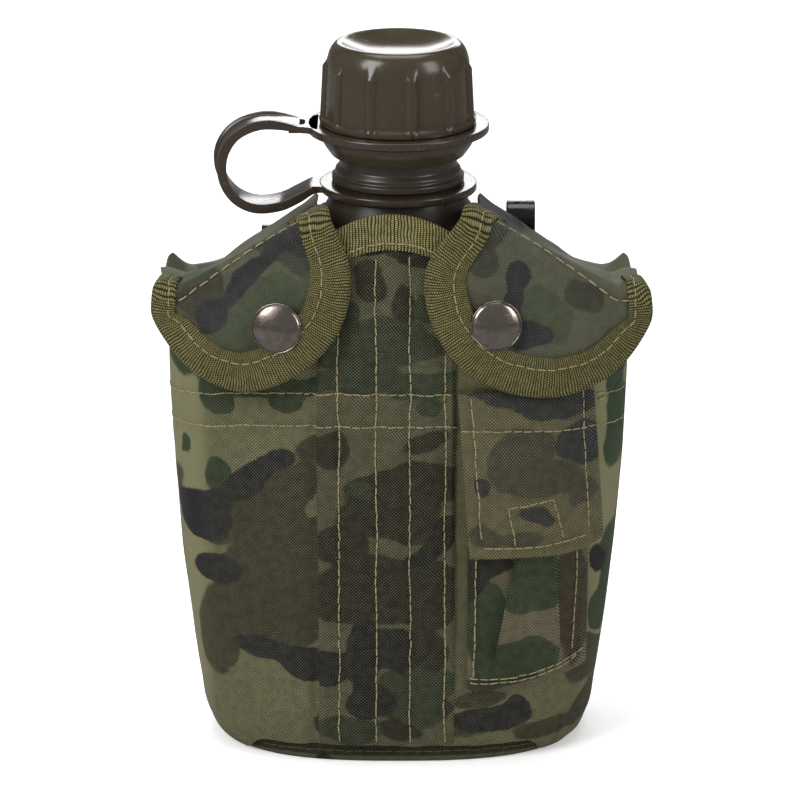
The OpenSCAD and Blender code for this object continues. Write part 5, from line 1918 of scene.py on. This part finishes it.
@dataclass
class Cap:
    """The tall screw cap with its few wide grip ribs."""

    ribs: int = 11
    rib_r: float = 1.9
    proud: float = 1.25
    rib_z: Point = (202.2, 217.2)

    def swell(self, angle: Array, z: Array) -> Array:
        """How far the ribs stand out of the wall at an angle and a height."""
        step = 2 * math.pi / self.ribs
        turn = (angle / step - 0.333 + 0.5) % 1 - 0.5
        wall = np.interp(z, [202, 217.5], [22.7, 21.9])
        side = np.abs(turn) * step * wall
        end = np.maximum(0, z - self.rib_z[1]) + np.maximum(0, self.rib_z[0] - z) * 1.6
        sunk = self.rib_r - self.proud
        inside = self.rib_r**2 - side**2 - end**2
        rib = np.sqrt(np.maximum(inside, 0)) - sunk
        return 0.5 * (rib + np.sqrt(rib**2 + 0.02)) - 0.012

    def build(self) -> None:
        """Builds the cap."""
        outer = [(17.5, 189.9), (20.7, 189.9), (22.6, 192.6), (23.2, 193.8), (23.2, 195.6), (22.6, 196.2),
                 (22.6, 199.4), (24.0, 199.7), (24.0, 201.2), (22.75, 201.9)]
        outer += [(mix(22.7, 21.9, t), mix(202.6, 217.5, t)) for t in np.linspace(0, 1, 26)]
        outer += [(21.75, 219.3), (21.2, 221.4), (20.5, 222.8), (19.6, 223.9), (18.6, 224.6), (17.6, 224.75),
                  (16.8, 224.4), (14, 223.2), (10, 221.9), (5, 221.4), (0, 221.2)]
        inner = [(0, 215.0), (18.4, 215.0), (18.9, 214.4), (18.9, 190.6), (18.2, 189.9)]
        line = np.array([*inner[:-1], (19.0, 189.9), *outer[1:]])
        angle = np.linspace(0, 2 * math.pi, 484, endpoint=False)[None]
        r, z = np.maximum(line[:, :1], 0.01) + 0 * angle, line[:, 1:] + 0 * angle
        r = r + np.where(line[:, :1] > 19.5, self.swell(angle + 0 * z, z), 0)
        shell = loft(np.stack([r * np.sin(angle), -r * np.cos(angle), z], -1))
        shell = shell.joined(helix(19.1, 1.2, 196.5, 1.5, 6.0, outward=False))
        settle(shell.piece("cap_moulded", CAP_PLASTIC.material(), 38), "cap", "cap", slot="bottle_plastic")


@dataclass
class Tether:
    """The one-piece plastic tether: a ring under the cap, a ring on the neck and the band between them."""

    width: float = 13.0
    thick: float = 2.0
    line: tuple[Point, ...] = ((-30.5, 198.3), (-36, 199.2), (-43, 199.1), (-50, 195.9), (-54.0, 189.8), (-54.0, 182.6),
                               (-50.2, 176.6), (-44, 173.7), (-36.5, 174.4), (-30.5, 177.2), (-26.5, 179.2),
                               (-23.5, 179.5))

    def ring(self, bore: float, rim: float, z: Point) -> Shell:
        """A flat ring with softened edges."""
        return lathe(rounded([(bore, z[0]), (rim, z[0]), (rim, z[1]), (bore, z[1])], 0.5, 3, closed=True), 160,
                     closed=True)

    def tab(self, x: Point, z: Point, flare: float, hole: bool) -> Shell:
        """The tab that joins a ring to the band, with an oval slot if asked for."""
        u, v = np.meshgrid(np.linspace(0, 1, 71), np.linspace(0, 1, 71))
        px = mix(x[1], x[0], u)
        half = self.width / 2 + flare * np.clip(1 - u * 1.6, 0, 1) ** 2
        py = (v * 2 - 1) * half
        grid = np.stack([px, py, z[1] + 0 * px], -1)
        gone = None
        if hole:
            mid = grid[:-1, :-1] + 0.5 * (grid[1:, 1:] - grid[:-1, :-1])
            gone = ((mid[..., 0] + 30.2) / 1.7) ** 2 + (mid[..., 1] / 3.6) ** 4 < 1
        return cloth(grid, grid[..., :2], z[1] - z[0], (-30, 0, z[0] - 50), gone)

    def band(self) -> bpy.types.Object:
        """The moulded band, bowed out to the side, with a rail along each edge."""
        line = resample(np.column_stack([spline(self.line, np.linspace(0, 1, 300)), np.zeros(300)]), 0.6)[:, :2]
        way = unit(np.gradient(line, axis=0))
        out = np.stack([way[:, 1], -way[:, 0]], -1)
        w, t, rail = self.width / 2, self.thick / 2, 0.9
        section = rounded([(-w, t + rail), (-w + 1.3, t + rail), (-w + 1.7, t), (w - 1.7, t), (w - 1.3, t + rail),
                           (w, t + rail), (w, -t), (-w, -t)], 0.4, 4, closed=True)
        run = np.linspace(0, 1, len(line))
        slim = 1 - 0.05 * bell(run - 0.5, 0.22)
        flat = np.clip(np.minimum(run, 1 - run) * 9, 0, 1)[:, None]
        off = np.where(section[None, :, 1] > t, t + (section[None, :, 1] - t) * flat, section[None, :, 1] + 0 * flat)
        off = off + 0.13 * section[None, :, 0] * bell(run - 0.42, 0.16)[:, None]
        xz = line[:, None] + out[:, None] * off[..., None]
        y = section[None, :, 0] * slim[:, None]
        rings = np.stack([xz[..., 0], y, xz[..., 1]], -1)
        obj = loft(rings).piece("tether_band_moulded", TETHER_PLASTIC.material(), 42)
        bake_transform(obj)
        return note(obj, "tether_band", slot="bottle_plastic")

    def build(self) -> None:
        """Builds both rings and the band."""
        upper = self.ring(22.95, 28.0, (196.9, 199.3)).joined(self.tab((-33.5, -24.6), (197.3, 199.3), 3.2, True))
        settle(upper.piece("tether_cap_ring_moulded", TETHER_PLASTIC.material(), 42), "cap_ring", "tether_cap_ring",
               slot="bottle_plastic")
        lower = self.ring(19.95, 24.3, (178.3, 180.7)).joined(self.tab((-26.5, -21.6), (178.5, 180.5), 1.6, False))
        settle(lower.piece("tether_neck_ring_moulded", TETHER_PLASTIC.material(), 42), "tether", "tether_neck_ring",
               slot="bottle_plastic")
        self.band()


# ---- the room ----


@dataclass
class Studio:
    """A white sweep, wide soft lights and the camera."""

    eye: tuple[float, float, float] = (0.0006, -1.115, 0.478)
    tilt: float = 71.7
    lens: float = 167.8

    def camera(self) -> None:
        """Places the camera."""
        data = bpy.data.cameras.new("camera")
        data.lens, data.sensor_width, data.clip_end = self.lens, 36.0, 20.0
        cam = bpy.data.objects.new("camera", data)
        cam.location = self.eye
        cam.rotation_euler = (math.radians(self.tilt), 0, 0)
        bpy.context.scene.collection.objects.link(cam)
        bpy.context.scene.camera = cam

    def sweep(self) -> None:
        """The floor that curves up behind the object."""
        x = np.linspace(-4, 4, 9)
        line = [(-3.0, 0), (0, 0), (1.2, 0)] + [(1.2 + 1.2 * math.sin(a), 1.2 - 1.2 * math.cos(a))
                                              for a in np.linspace(0.1, math.pi / 2, 16)] + [(2.4, 5.0)]
        points = np.array([[(px, y, z) for px in x] for y, z in line]) * 1000
        shell = Shell(points.reshape(-1, 3), [tuple(f) for f in grid_quads(len(line), len(x))])
        shell.piece("floor", PAPER.material())

    def light(self, name: str, at: Sequence[float], size: Point, watts: float, target: Sequence[float] = (0, 0, 0.1),
              colour: tuple[float, float, float] = (1, 1, 1)) -> None:
        """A soft rectangular light aimed at a point."""
        data = bpy.data.lights.new(name, "AREA")
        data.shape, data.size, data.size_y = "RECTANGLE", size[0], size[1]
        data.energy, data.color = watts, colour
        lamp = bpy.data.objects.new(name, data)
        lamp.location, lamp.visible_camera = at, False
        lamp.rotation_euler = (Vector(target) - Vector(at)).to_track_quat("-Z", "Y").to_euler()
        bpy.context.scene.collection.objects.link(lamp)

    def world(self) -> None:
        """An even white surround."""
        world = bpy.data.worlds.new("surround")
        world.use_nodes = True
        back = world.node_tree.nodes["Background"]
        back.inputs["Color"].default_value = (1.0, 1.0, 1.0, 1.0)
        back.inputs["Strength"].default_value = 0.28
        scene = bpy.context.scene
        scene.world = world
        scene.view_settings.view_transform = "Standard"
        scene.view_settings.look = "None"

    def build(self) -> None:
        """Builds the sweep and the lights."""
        self.sweep()
        self.world()
        self.light("key", (-1.0, -0.85, 1.05), (0.7, 0.9), 17.0)
        self.light("fill", (1.15, -0.75, 0.75), (0.5, 0.9), 7.0)
        self.light("top", (0.0, 0.15, 1.5), (1.1, 0.8), 10.0)
        self.light("rear", (0.1, 1.7, 0.72), (1.0, 0.35), 7.0)


def main() -> None:
    """Builds the whole object."""
    logging.basicConfig(level=logging.INFO, format="%(message)s")
    studio = Studio()
    studio.camera()
    make_groups()
    CoverBody().build()
    for side in Side:
        Flap(side).build()
        SnapFastener(side).build()
    Pouch().build()
    BeltHanger().build()
    Bottle().build()
    Cap().build()
    Tether().build()
    studio.build()


if __name__ == "__main__":
    main()
